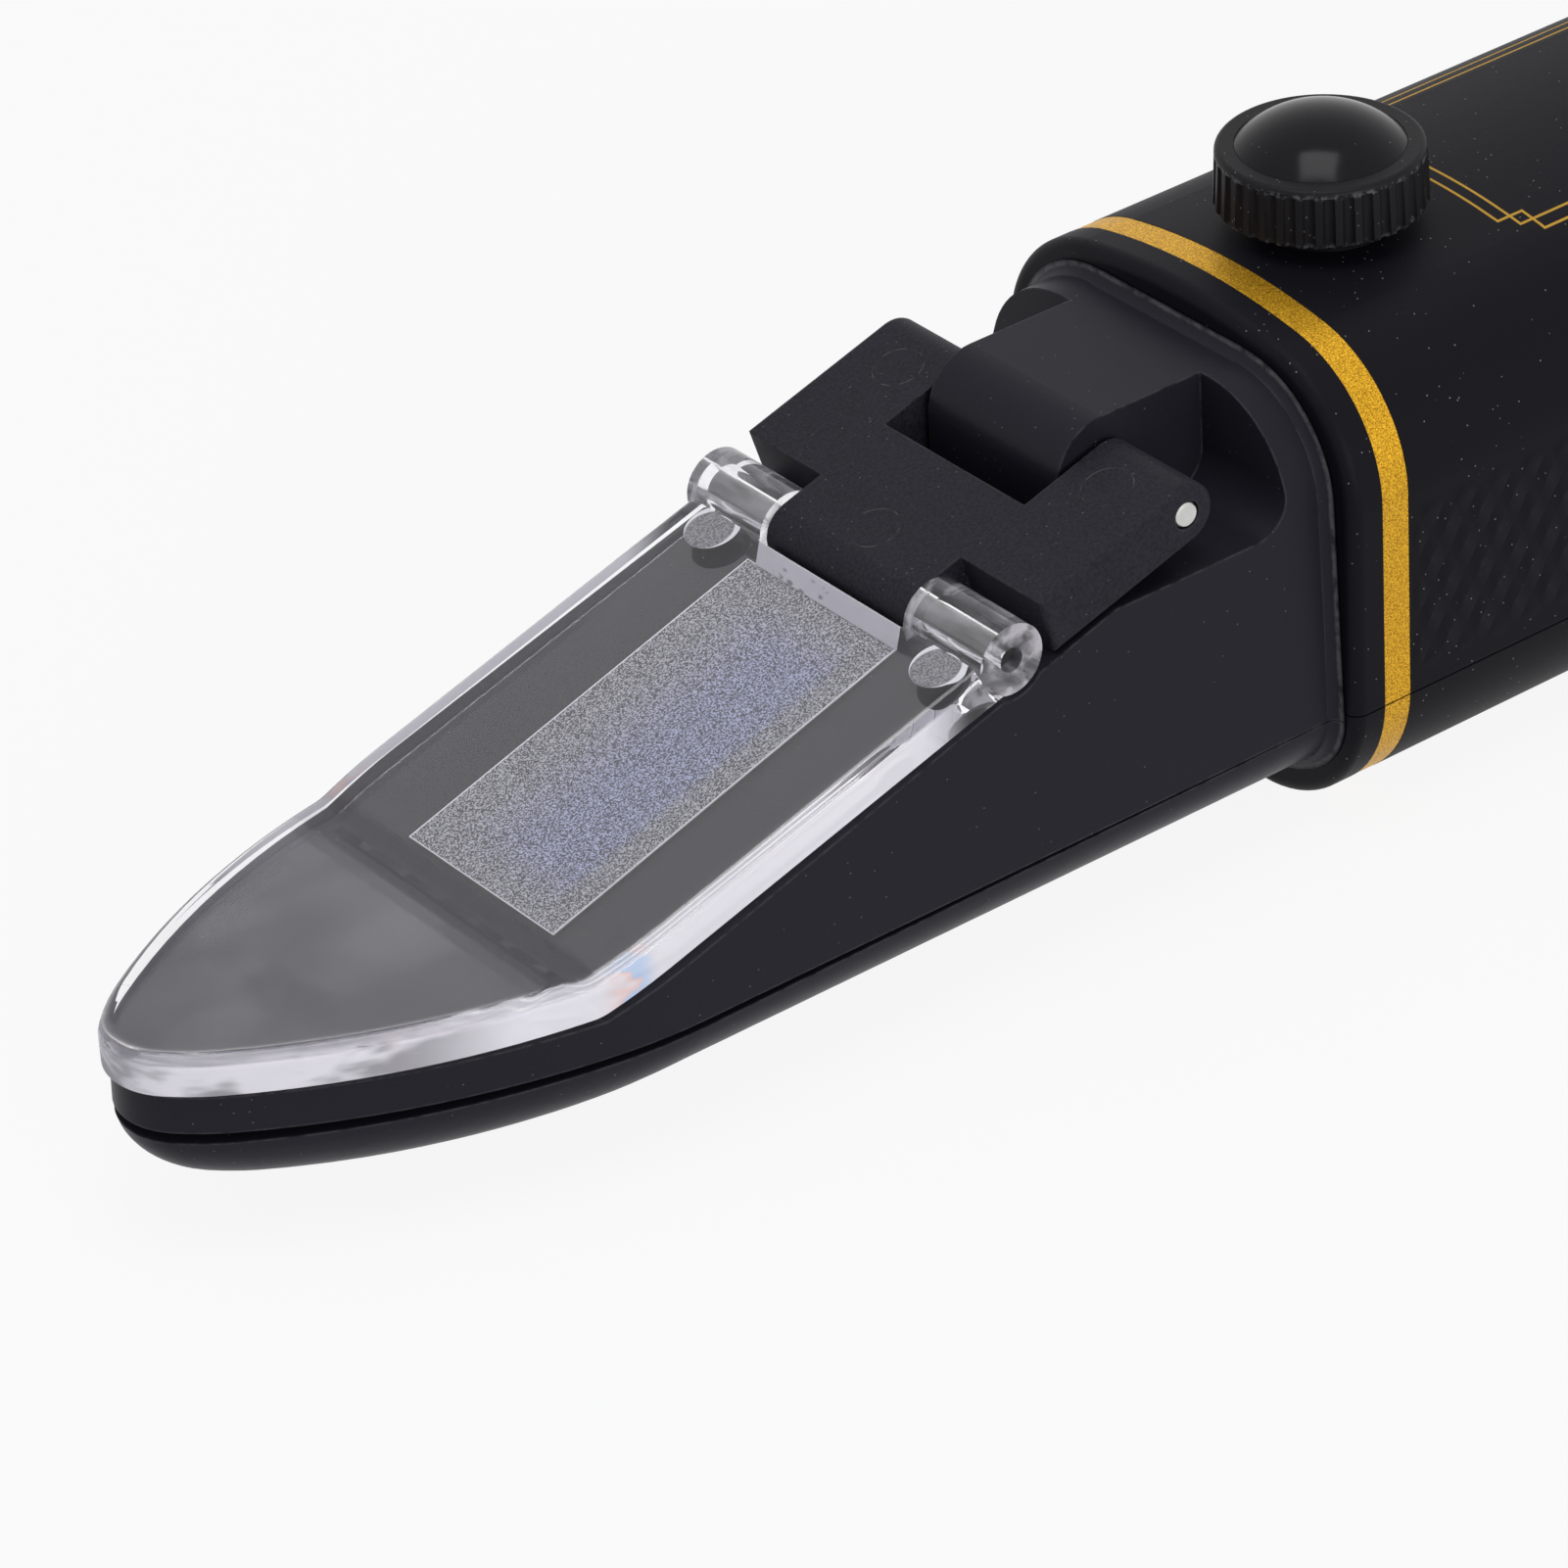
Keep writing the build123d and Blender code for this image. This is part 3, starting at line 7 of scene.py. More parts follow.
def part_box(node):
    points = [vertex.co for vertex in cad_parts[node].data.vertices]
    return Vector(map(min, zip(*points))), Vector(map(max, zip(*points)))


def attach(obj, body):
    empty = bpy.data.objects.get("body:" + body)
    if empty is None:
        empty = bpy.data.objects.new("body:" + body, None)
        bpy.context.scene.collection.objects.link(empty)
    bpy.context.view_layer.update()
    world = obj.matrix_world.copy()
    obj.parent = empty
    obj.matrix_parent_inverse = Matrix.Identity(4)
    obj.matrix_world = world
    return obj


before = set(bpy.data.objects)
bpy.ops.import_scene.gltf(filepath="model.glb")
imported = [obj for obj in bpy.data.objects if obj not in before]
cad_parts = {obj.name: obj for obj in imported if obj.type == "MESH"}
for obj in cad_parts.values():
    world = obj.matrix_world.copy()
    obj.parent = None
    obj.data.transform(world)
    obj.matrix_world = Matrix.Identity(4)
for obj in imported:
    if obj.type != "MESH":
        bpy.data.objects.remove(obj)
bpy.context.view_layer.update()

azimuth, elevation, roll = math.radians(-36.28), math.radians(32.37), math.radians(3.5)
look_at = Vector((-0.04947, 0.0, 0.00917))
distance = 0.4416
back = Vector(
    (math.sin(azimuth) * math.cos(elevation), -math.cos(azimuth) * math.cos(elevation), math.sin(elevation))
)
level = Vector((math.cos(azimuth), math.sin(azimuth), 0.0))
upright = back.cross(level)
right = math.cos(roll) * level - math.sin(roll) * upright
above = math.sin(roll) * level + math.cos(roll) * upright
lens = bpy.data.cameras.new("camera")
lens.lens = 183.9
lens.sensor_width = 36.0
lens.clip_start = 0.01
lens.clip_end = 20.0
camera = bpy.data.objects.new("camera", lens)
camera.rotation_mode = "QUATERNION"
camera.rotation_quaternion = Matrix((right, above, back)).transposed().to_quaternion()
camera.location = look_at + back * distance
bpy.context.scene.collection.objects.link(camera)
bpy.context.scene.camera = camera
bpy.context.scene.view_settings.view_transform = "Standard"


# Studio: a pale sweep under a plain soft light. The camera sees it white, and so do gloss and glass.
# Three wide soft lamps stand above, beyond the nose's tip, and low on the near side.
class Field:
    """A value in a node tree. Arithmetic on it adds Math nodes."""

    def __init__(self, tree, socket):
        self.tree = tree
        self.socket = socket

    def math(self, operation, *others):
        node = self.tree.node("ShaderNodeMath", {"operation": operation}, dict(enumerate((self, *others))))
        return Field(self.tree, node.outputs[0])

    def __add__(self, other):
        return self.math("ADD", other)

    def __sub__(self, other):
        return self.math("SUBTRACT", other)

    def __mul__(self, other):
        return self.math("MULTIPLY", other)

    def __rsub__(self, other):
        return self * -1.0 + other

    def __abs__(self):
        return self.math("ABSOLUTE")

    __radd__ = __add__
    __rmul__ = __mul__

    def ramp(self, start, end):
        """0 at start, 1 at end, smooth between."""
        node = self.tree.node(
            "ShaderNodeMapRange",
            {"interpolation_type": "SMOOTHSTEP"},
            {"Value": self, "From Min": start, "From Max": end},
        )
        return Field(self.tree, node.outputs["Result"])

    def near(self, centre, half_width, soft):
        """1 within half_width of the centre, 0 outside."""
        return abs(self - centre).ramp(half_width + soft, half_width - soft)


class Tree:
    """The nodes of the world or of one material."""

    def __init__(self, owner):
        self.owner = owner
        owner.use_nodes = True
        self.nodes = owner.node_tree.nodes
        self.links = owner.node_tree.links
        self.nodes.clear()

    def node(self, kind, settings=None, values=None):
        """Adds a node, sets its settings, and sets or links its inputs by name or number."""
        made = self.nodes.new(kind)
        for name, value in (settings or {}).items():
            setattr(made, name, value)
        for name, value in (values or {}).items():
            if isinstance(value, Field):
                self.links.new(value.socket, made.inputs[name])
            elif isinstance(value, bpy.types.NodeSocket):
                self.links.new(value, made.inputs[name])
            else:
                made.inputs[name].default_value = value
        return made

    def sees_white(self):
        """1 for the camera's rays and for those through glass or off gloss."""
        rays = self.node("ShaderNodeLightPath")
        seen = Field(self, rays.outputs["Is Camera Ray"])
        for kind in ("Is Transmission Ray", "Is Glossy Ray"):
            seen = seen.math("MAXIMUM", rays.outputs[kind])
        return seen


world = bpy.data.worlds.new("world")
bpy.context.scene.world = world
sky = Tree(world)
around = sky.node("ShaderNodeBackground", {}, {"Color": (0.94, 0.93, 1.0, 1.0), "Strength": 0.4})
white = sky.node("ShaderNodeBackground", {}, {"Color": (1.0, 1.0, 1.0, 1.0), "Strength": 1.0})
chosen = sky.node(
    "ShaderNodeMixShader", {}, {0: sky.sees_white(), 1: around.outputs[0], 2: white.outputs[0]}
)
sky.node("ShaderNodeOutputWorld", {}, {"Surface": chosen.outputs[0]})

floor_half, floor_drop, floor_glow = 1.5, 0.0002, 0.9
floor_mesh = bpy.data.meshes.new("floor")
floor_mesh.from_pydata(
    [
        (-floor_half, -floor_half, 0),
        (floor_half, -floor_half, 0),
        (floor_half, floor_half, 0),
        (-floor_half, floor_half, 0),
    ],
    [],
    [(0, 1, 2, 3)],
)
floor = bpy.data.objects.new("floor", floor_mesh)
floor.location = (0.0, 0.0, -floor_drop)
bpy.context.scene.collection.objects.link(floor)
sweep = Tree(bpy.data.materials.new("floor"))
pale = sweep.node("ShaderNodeBsdfDiffuse", {}, {"Color": (0.70, 0.70, 0.70, 1.0)})
lit = sweep.node("ShaderNodeEmission", {}, {"Color": (1.0, 1.0, 1.0, 1.0), "Strength": 1.0})
floor_mix = sweep.node(
    "ShaderNodeMixShader", {}, {0: sweep.sees_white() * floor_glow, 1: pale.outputs[0], 2: lit.outputs[0]}
)
sweep.node("ShaderNodeOutputMaterial", {}, {"Surface": floor_mix.outputs[0]})
floor_mesh.materials.append(sweep.owner)

for name, place, size, power in (
    ("panel_over", (-0.15, -0.10, 1.10), (0.6, 0.5), 3.9),
    ("panel_left", (-0.95, 0.30, 0.55), (0.5, 0.5), 0.2),
    ("panel_front", (-0.10, -1.00, 0.25), (0.6, 0.4), 3.4),
):
    light = bpy.data.lights.new(name, "AREA")
    light.shape = "RECTANGLE"
    light.size, light.size_y = size
    light.energy = power
    lamp = bpy.data.objects.new(name, light)
    lamp.location = place
    lamp.rotation_mode = "QUATERNION"
    lamp.rotation_quaternion = (Vector(place) - look_at).to_track_quat("Z", "Y")
    bpy.context.scene.collection.objects.link(lamp)

# light passes many times through the clear flap
bpy.context.scene.cycles.max_bounces = 32
bpy.context.scene.cycles.glossy_bounces = 24
bpy.context.scene.cycles.transmission_bounces = 24


# Grip: two shells moulded in hard plastic with a soft-touch coat, near black, screwed together along
# their seam. A thin gold border is printed on the top, small diamonds are raised on the sides with a
# painted highlight on their tops, and fine dust clings to the coat.
class Finish(Tree):
    """The look of one material."""

    def mix(self, factor, first, second):
        """Colour that goes from the first to the second."""
        made = self.node("ShaderNodeMix", {"data_type": "RGBA"}, {0: factor, 6: first, 7: second})
        return made.outputs[2]

    def coordinates(self):
        """Position in the row's frame, in millimetres, as three fields."""
        place = self.node("ShaderNodeTexCoord")
        parts = self.node("ShaderNodeSeparateXYZ", {}, {0: place.outputs["Object"]})
        return [Field(self, out) * 1000.0 for out in parts.outputs]

    def noise(self, scale, detail=2.0, rough=0.5, stretch=(1.0, 1.0, 1.0)):
        """Noise in the object's own space; the scale is in waves per metre."""
        place = self.node("ShaderNodeTexCoord")
        shaped = self.node("ShaderNodeMapping", {}, {"Vector": place.outputs["Object"], "Scale": stretch})
        made = self.node(
            "ShaderNodeTexNoise",
            {},
            {"Vector": shaped.outputs[0], "Scale": scale, "Detail": detail, "Roughness": rough},
        )
        return Field(self, made.outputs[0])

    def specks(self, scale, radius, share):
        """Small round specks, 1 at their centres, in this share of the cells; radius is in cells."""
        place = self.node("ShaderNodeTexCoord")
        cells = self.node("ShaderNodeTexVoronoi", {}, {"Vector": place.outputs["Object"], "Scale": scale})
        chance = self.node("ShaderNodeSeparateColor", {}, {0: cells.outputs["Color"]})
        spot = Field(self, cells.outputs["Distance"]).ramp(radius, radius * 0.4)
        return spot * Field(self, chance.outputs[0]).math("LESS_THAN", share)

    def dust(self, amount):
        """Fine dust and a few larger grains, as on a handled instrument; it lies thicker in patches."""
        patches = self.noise(110.0).ramp(0.42, 0.62) * 0.5 + 0.12
        fine = self.specks(1700.0, 0.10, patches * amount * 1.5)
        coarse = self.specks(450.0, 0.035, 0.35 * amount)
        return fine.math("MAXIMUM", coarse)

    def edges(self, radius):
        """Normal that rounds sharp edges by this radius in metres, so that they catch the light."""
        return self.node("ShaderNodeBevel", {"samples": 4}, {"Radius": radius}).outputs[0]

    def wear(self, radius):
        """1 on sharp edges, fading out at this distance from them, and broken up a little."""
        surface = self.node("ShaderNodeNewGeometry")
        turn = self.node(
            "ShaderNodeVectorMath",
            {"operation": "DOT_PRODUCT"},
            {0: self.edges(radius), 1: surface.outputs["Normal"]},
        )
        broken = self.noise(1300.0, detail=3.0).ramp(0.3, 0.6)
        return Field(self, turn.outputs["Value"]).ramp(0.99, 0.86) * broken

    def bump(self, height, strength, distance, normal=None):
        """Normal of a small relief, on top of another normal if one is given; the distance is in metres."""
        values = {"Height": height, "Strength": strength, "Distance": distance}
        if normal is not None:
            values["Normal"] = normal
        return self.node("ShaderNodeBump", {}, values).outputs[0]

    def surface(self, values):
        """Principled surface with these inputs, as the material's output."""
        shader = self.node("ShaderNodeBsdfPrincipled", {}, values)
        self.node("ShaderNodeOutputMaterial", {}, {"Surface": shader.outputs[0]})


def paint(node_names, material):
    """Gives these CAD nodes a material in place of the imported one."""
    for name in node_names:
        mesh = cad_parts[name].data
        mesh.materials.clear()
        mesh.materials.append(material)


# places on the surface are in millimetres, and reliefs and edge radii in metres
shell_low, shell_high = (corner * 1000.0 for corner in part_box("body_upper_shell"))
line_half, line_soft = 0.09, 0.03
outer_x, inner_x, notch_x = shell_low.x + 18.47, shell_low.x + 19.38, shell_low.x + 20.3
rear_x = shell_high.x - 6.3
near_lines, far_lines = (-6.6, -7.5, -8.5), (7.7, 8.6, 9.5)
top_foot, top_full = 26.0, 26.4
side_foot, side_full = shell_high.y - 0.4, shell_high.y - 0.1
panel_middle_x, panel_half_length = shell_low.x + 40.75, 36.0
panel_middle_z, panel_half_height = 14.5, 5.0
panel_soft, diamond_half, diamond_slant, diamond_relief = 0.5, 1.25, 0.7, 0.0002
grip_edge, tooth_relief = 0.00012, 0.00004
coat_dark, coat_light = (0.0044, 0.0040, 0.0066, 1.0), (0.0064, 0.0058, 0.0090, 1.0)
coat_dust, border_gold = (0.34, 0.34, 0.36, 1.0), (0.62, 0.36, 0.05, 1.0)
diamond_highlight = (0.022, 0.021, 0.027, 1.0)


def gold_line(across, at, along, start, end):
    """Thin line where one coordinate has a value, between two ends of the other one."""
    middle, half = (start + end) / 2, abs(end - start) / 2 + line_half
    return across.near(at, line_half, line_soft) * along.near(middle, half, line_soft)


grip = Finish(bpy.data.materials.new("grip_black"))
x, y, z = grip.coordinates()
tooth = grip.noise(9000.0, detail=3.0, rough=0.6)
cloud = grip.noise(60.0, detail=3.0)
colour = grip.mix(grip.dust(1.3) * 0.8, grip.mix(cloud, coat_dark, coat_light), coat_dust)
lines = [
    gold_line(x, outer_x, y, near_lines[0], far_lines[0]),
    gold_line(x, inner_x, y, near_lines[1], far_lines[1]),
    gold_line(x, rear_x, y, near_lines[2], far_lines[2]),
]
for notch_y, inner_y, outer_y in (near_lines, far_lines):
    lines.append(gold_line(y, notch_y, x, outer_x, notch_x))
    lines.append(gold_line(x, notch_x, y, notch_y, outer_y))
    lines.append(gold_line(y, outer_y, x, notch_x, rear_x))
    lines.append(gold_line(y, inner_y, x, inner_x, rear_x))
border = lines[0]
for line in lines[1:]:
    border = border.math("MAXIMUM", line)
colour = grip.mix(border * z.ramp(top_foot, top_full), colour, border_gold)
panel = abs(y).ramp(side_foot, side_full) * z.near(panel_middle_z, panel_half_height, panel_soft)
panel = panel * x.near(panel_middle_x, panel_half_length, panel_soft)
rising = (x + z * diamond_slant).math("PINGPONG", diamond_half)
falling = (x - z * diamond_slant).math("PINGPONG", diamond_half)
diamonds = rising * falling
# the tops of the raised diamonds are painted lighter: a painted highlight
colour = grip.mix(diamonds.ramp(0.9, 1.5) * panel * cloud * 0.35, colour, diamond_highlight)
embossed = grip.bump(diamonds * panel, 0.4, diamond_relief, grip.edges(grip_edge))
grip.surface(
    {
        "Base Color": colour,
        "Roughness": tooth * 0.15 + 0.42,
        "Normal": grip.bump(tooth, 0.25, tooth_relief, embossed),
        "Specular IOR Level": 0.08,
    }
)
paint(["body_upper_shell", "body_lower_shell"], grip.owner)

# Gold band: a thin strip of plastic let into a groove round both shells. It is sprayed with
# a metallic paint whose grain is coarse and dark.
gold_dark, gold_light, grain_relief = (0.33, 0.16, 0.008, 1.0), (0.90, 0.51, 0.035, 1.0), 0.00003
band = Finish(bpy.data.materials.new("band_gold"))
grain = band.noise(10000.0, detail=3.0, rough=0.7)
band.surface(
    {
        "Base Color": band.mix(grain.ramp(0.35, 0.65), gold_dark, gold_light),
        "Metallic": 0.85,
        "Roughness": grain * 0.2 + 0.34,
        "Normal": band.bump(grain, 0.2, grain_relief),
        "Specular IOR Level": 0.2,
    }
)
paint(["gold_band"], band.owner)

# Nose: an upper housing and a hull-shaped cover, moulded in black plastic with a satin surface and
# screwed together. Their edges are worn a little light, and crumbs have gathered where the nose
# meets the collar.
satin_dark, satin_light = (0.0148, 0.0140, 0.0205, 1.0), (0.0196, 0.0187, 0.0268, 1.0)
worn_edge, dust_light = (0.12, 0.12, 0.13, 1.0), (0.25, 0.25, 0.27, 1.0)
crumb_light = (0.20, 0.20, 0.20, 1.0)
crumb_x, crumb_half, crumb_soft = shell_low.x - 0.15, 0.03, 0.04
wear_width, nose_edge, satin_relief = 0.00022, 0.00012, 0.00003
nose = Finish(bpy.data.materials.new("nose_black"))
x, y, z = nose.coordinates()
tooth = nose.noise(7000.0)
crumbs = nose.noise(1500.0, detail=3.0, rough=0.7).ramp(0.42, 0.6)
colour = nose.mix(tooth, satin_dark, satin_light)
colour = nose.mix(nose.wear(wear_width) * 0.5, colour, worn_edge)
colour = nose.mix(nose.dust(0.6) * 0.5, colour, dust_light)
colour = nose.mix(x.near(crumb_x, crumb_half, crumb_soft) * crumbs * 0.18, colour, crumb_light)
nose.surface(
    {
        "Base Color": colour,
        "Roughness": tooth * 0.1 + 0.33,
        "Normal": nose.bump(tooth, 0.15, satin_relief, nose.edges(nose_edge)),
        "Specular IOR Level": 0.09,
    }
)
paint(["nose_upper", "nose_lower"], nose.owner)


# Hinge link: a plate with two arms, moulded in black plastic with a coarser, spark-eroded texture.
# Three faint rings on its top were left by the pins that pushed it out of its mould.
# Its arms turn on the rear pin and its front knuckle carries the clear flap.
def pin_centre(name):
    """Middle of a hinge pin, in metres."""
    pin_low, pin_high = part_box(name)
    return (pin_low + pin_high) / 2


def on_slope(forward, across):
    """Distance from a point on the sloping top, given the level distances from it."""
    return (forward * forward * slope_stretch + across * across).math("SQRT")


link_dark, link_light = (0.014, 0.0135, 0.019, 1.0), (0.028, 0.027, 0.036, 1.0)
ring_light = (0.13, 0.12, 0.11, 1.0)
rear_pin, front_pin = pin_centre("rear_hinge_pin"), pin_centre("plate_hinge_pin")
slope = math.atan2(rear_pin.z - front_pin.z, rear_pin.x - front_pin.x)
slope_stretch = 1 / math.cos(slope) ** 2
rear_ring_x, rear_ring_y = rear_pin.x * 1000.0 - 2.47, 9.06
front_ring_x = front_pin.x * 1000.0 + 1.02
ring_radius, ring_half, ring_soft = 1.5, 0.035, 0.03
link_edge, link_relief = 0.00015, 0.00006
link = Finish(bpy.data.materials.new("link_black"))
x, y, z = link.coordinates()
tooth = link.noise(5200.0, detail=3.0, rough=0.6)
rear_rings = on_slope(x - rear_ring_x, abs(y) - rear_ring_y).near(ring_radius, ring_half, ring_soft)
front_ring = on_slope(x - front_ring_x, y).near(ring_radius, ring_half, ring_soft)
rings = rear_rings.math("MAXIMUM", front_ring) * link.noise(900.0, rough=0.6).ramp(0.45, 0.6)
colour = link.mix(tooth.ramp(0.3, 0.7), link_dark, link_light)
colour = link.mix(rings * 0.6, colour, ring_light)
colour = link.mix(link.wear(wear_width) * 0.4, colour, worn_edge)
colour = link.mix(link.dust(1.2) * 0.6, colour, dust_light)
link.surface(
    {
        "Base Color": colour,
        "Roughness": tooth * 0.2 + 0.4,
        "Normal": link.bump(tooth, 0.5, link_relief, link.edges(link_edge)),
        "Specular IOR Level": 0.09,
    }
)
paint(["hinge_link"], link.owner)

# Clear flap: one moulding of polished acrylic, hung on the link's front pin. Light goes through it to
# what lies under it. Its bow's shine is tinted darker as painted shade, and a band of its body at the
# crease is painted darker as shade. Its side walls and rounded shoulders are painted milky white as
# painted reflection, with painted grey swirls near the tip, a painted fringe of colours at the crease
# and a painted haze of reflection on the bow, and its knuckles carry a painted highlight.
# the acrylic's body colour in the band at the crease is darker: painted shade
clear_body, crease_painted_shade = (0.985, 0.985, 1.0, 1.0), (0.78, 0.78, 0.80, 1.0)
# the bow's shine is tinted far darker than the slope's: painted shade on its reflection
slope_shine, bow_shine_painted_shade = (0.99, 0.97, 1.0, 1.0), (0.50, 0.48, 0.56, 1.0)
wall_reflection_white, swirl_reflection_grey = (0.97, 0.95, 1.0, 1.0), (0.34, 0.33, 0.36, 1.0)
fringe_red, fringe_blue = (1.0, 0.55, 0.42, 1.0), (0.35, 0.62, 1.0, 1.0)
acrylic_index = 1.49
tip_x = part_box("daylight_plate")[0].x * 1000.0
crease_start, crease_end = tip_x + 23.1, tip_x + 22.3
band_start, haze_start, band_end = tip_x + 20.0, tip_x + 19.9, tip_x + 19.6
swirl_start, swirl_full = tip_x + 19.0, tip_x + 11.0
wall_start, wall_full = tip_x + 48.0, tip_x + 44.0
shoulder_start, shoulder_full = tip_x + 44.0, tip_x + 38.0
knuckle_start, knuckle_full = tip_x + 48.6, tip_x + 49.4
fringe_x, fringe_half, fringe_soft = tip_x + 24.4, 1.2, 0.8
clear = Finish(bpy.data.materials.new("clear_plate"))


def acrylic(body, shine):
    """Clear acrylic with this colour of its body and this tint of its surface shine."""
    return clear.node(
        "ShaderNodeBsdfPrincipled",
        {},
        {
            "Base Color": body,
            "Roughness": 0.0,
            "Transmission Weight": 1.0,
            "IOR": acrylic_index,
            "Specular Tint": shine,
        },
    ).outputs[0]


x, y, z = clear.coordinates()
# clear body on the bow, with the painted shade in the band at the crease
bow_body_with_shade = clear.mix(x.ramp(band_start, band_end), crease_painted_shade, clear_body)
plate, bow = acrylic(clear_body, slope_shine), acrylic(bow_body_with_shade, bow_shine_painted_shade)
polished = clear.node("ShaderNodeMixShader", {}, {0: x.ramp(crease_start, crease_end), 1: plate, 2: bow})
# shadows and bounced light go straight through the flap
through = clear.node("ShaderNodeBsdfTransparent", {}, {"Color": (0.95, 0.95, 0.97, 1.0)})
path = clear.node("ShaderNodeLightPath")
hidden = Field(clear, path.outputs["Is Shadow Ray"]).math("MAXIMUM", path.outputs["Is Diffuse Ray"])
both = clear.node("ShaderNodeMixShader", {}, {0: hidden, 1: polished.outputs[0], 2: through.outputs[0]})
facing = clear.node("ShaderNodeTexCoord")
parts = clear.node("ShaderNodeSeparateXYZ", {}, {0: facing.outputs["Normal"]})
upward, sideways = abs(Field(clear, parts.outputs[2])), abs(Field(clear, parts.outputs[1]))
# painted reflection: white walls with grey swirls near the tip and a fringe of colours at the crease
reflected_swirls = clear.noise(130.0, detail=3.0, rough=0.6, stretch=(1.0, 1.0, 3.0)).ramp(0.40, 0.56)
reflected_swirls = reflected_swirls * x.ramp(swirl_start, swirl_full)
painted_reflection = clear.mix(reflected_swirls * 0.9, wall_reflection_white, swirl_reflection_grey)
fringe = clear.noise(420.0, detail=1.0, stretch=(1.0, 1.0, 2.0))
painted_fringe = clear.mix(fringe.ramp(0.45, 0.55), fringe_red, fringe_blue)
painted_reflection = clear.mix(x.near(fringe_x, fringe_half, fringe_soft) * fringe.ramp(0.3, 0.5) * 0.6, painted_reflection, painted_fringe)
reflection_and_dust_shader = clear.node(
    "ShaderNodeBsdfPrincipled", {}, {"Base Color": painted_reflection, "Roughness": 0.6, "Specular IOR Level": 0.2}
)
# where the painted reflection shows: walls, rounded shoulders and a haze on the bow; the painted highlight
# on the knuckles; and real dust
wall_reflection = upward.ramp(0.5, 0.2) * x.ramp(wall_start, wall_full)
shoulder_reflection = upward.near(0.60, 0.26, 0.05) * x.ramp(shoulder_start, shoulder_full)
streaks = clear.noise(120.0, stretch=(0.6, 1.6, 1.0)).ramp(0.35, 0.7)
bow_reflection_haze = x.ramp(haze_start, band_end) * (streaks * 0.045 + 0.03)
# the knuckles get a streaked painted highlight, stronger on their sideways faces
knuckle_glint_noise = clear.noise(700.0, stretch=(1.0, 0.3, 1.0)).ramp(0.40, 0.62)
knuckle_highlight = x.ramp(knuckle_start, knuckle_full) * knuckle_glint_noise * (sideways.ramp(0.8, 0.95) * 0.3 + 0.16)
reflection_and_dust_share = wall_reflection * 0.9
for part in (shoulder_reflection * 0.3, bow_reflection_haze, knuckle_highlight, clear.dust(0.2) * 0.45):
    reflection_and_dust_share = reflection_and_dust_share.math("MAXIMUM", part)
shown = clear.node("ShaderNodeMixShader", {}, {0: reflection_and_dust_share, 1: both.outputs[0], 2: reflection_and_dust_shader.outputs[0]})
clear.node("ShaderNodeOutputMaterial", {}, {"Surface": shown.outputs[0]})
paint(["daylight_plate"], clear.owner)

# Frosted window: a matt rectangle on the flap's underside, etched into the acrylic, with a fine bright
# edge. It spreads daylight over the prism, and the prism's blue, as seen through it, is painted into its
# colour.
down_slope = Vector((-math.cos(slope), 0.0, -math.sin(slope)))
off_slope = Vector((-math.sin(slope), 0.0, math.cos(slope)))


def film(name, outline, low, high, material, lean=0.0):
    """Thin sheet in the flap. Its outline is given down the slope from the rear pin and across it, and
    its two faces by their places above the pin line, all in metres. The lower face lies further
    forward by the lean."""
    corners = []
    for lift, shift in ((low, lean), (high, 0.0)):
        for forward, across in outline:
            place = rear_pin + down_slope * (forward + shift) + off_slope * lift
            corners.append(place + Vector((0.0, across, 0.0)))
    count = len(outline)
    faces = [tuple(range(count)), tuple(reversed(range(count, 2 * count)))]
    for step in range(count):
        following = (step + 1) % count
        faces.append((step, count + step, count + following, following))
    mesh = bpy.data.meshes.new(name)
    mesh.from_pydata(corners, [], faces)
    mesh.materials.append(material)
    made = bpy.data.objects.new(name, mesh)
    bpy.context.scene.collection.objects.link(made)
    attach(made, "flap")


window_rear, window_front, window_half, window_skew = 0.01600, 0.04135, 0.00654, 0.0005
window_low, window_high = -0.00184, -0.00177
window_centre = rear_pin + down_slope * (window_rear + window_front) / 2 + off_slope * window_high
window_x = window_centre.x * 1000.0
window_reach = (window_front - window_rear) / 2 * math.cos(slope) * 1000.0
window_side = window_half * 1000.0
skew_rate = window_skew * 1000.0 / (2 * window_reach)
blue_x, blue_half, blue_soft, blue_near, blue_far = window_x - 0.2, 9.6, 1.6, -5.3, 5.0
frost_dark, frost_light = (0.016, 0.015, 0.018, 1.0), (0.53, 0.53, 0.57, 1.0)
blue_dark, blue_light = (0.016, 0.023, 0.048, 1.0), (0.48, 0.51, 0.70, 1.0)
edge_light = (0.85, 0.85, 0.85, 1.0)
frost = Finish(bpy.data.materials.new("frosted_window"))
x, y, z = frost.coordinates()
y = y - (x - (window_x - window_reach)) * skew_rate
sparkle = frost.noise(9000.0, rough=0.6).ramp(0.47, 0.56)
# painted view of the prism: the window is coloured blue over the place where the prism lies
blue = x.near(blue_x, blue_half, blue_soft) * (y - blue_near).ramp(0.0, 1.2)
blue = blue * (blue_far - y).ramp(0.0, 6.0)
colour = frost.mix(
    blue, frost.mix(sparkle, frost_dark, frost_light), frost.mix(sparkle, blue_dark, blue_light)
)
long_edges = abs(y).ramp(window_side - 0.12, window_side - 0.08)
short_edges = abs(x - window_x).ramp(window_reach - 0.09, window_reach - 0.04)
colour = frost.mix(long_edges.math("MAXIMUM", short_edges), colour, edge_light)
frost.surface({"Base Color": colour, "Roughness": 0.6})
film(
    "frosted_window",
    [
        (window_rear, window_skew - window_half),
        (window_front, -window_half),
        (window_front, window_half),
        (window_rear, window_skew + window_half),
    ],
    window_low,
    window_high,
    frost.owner,
)

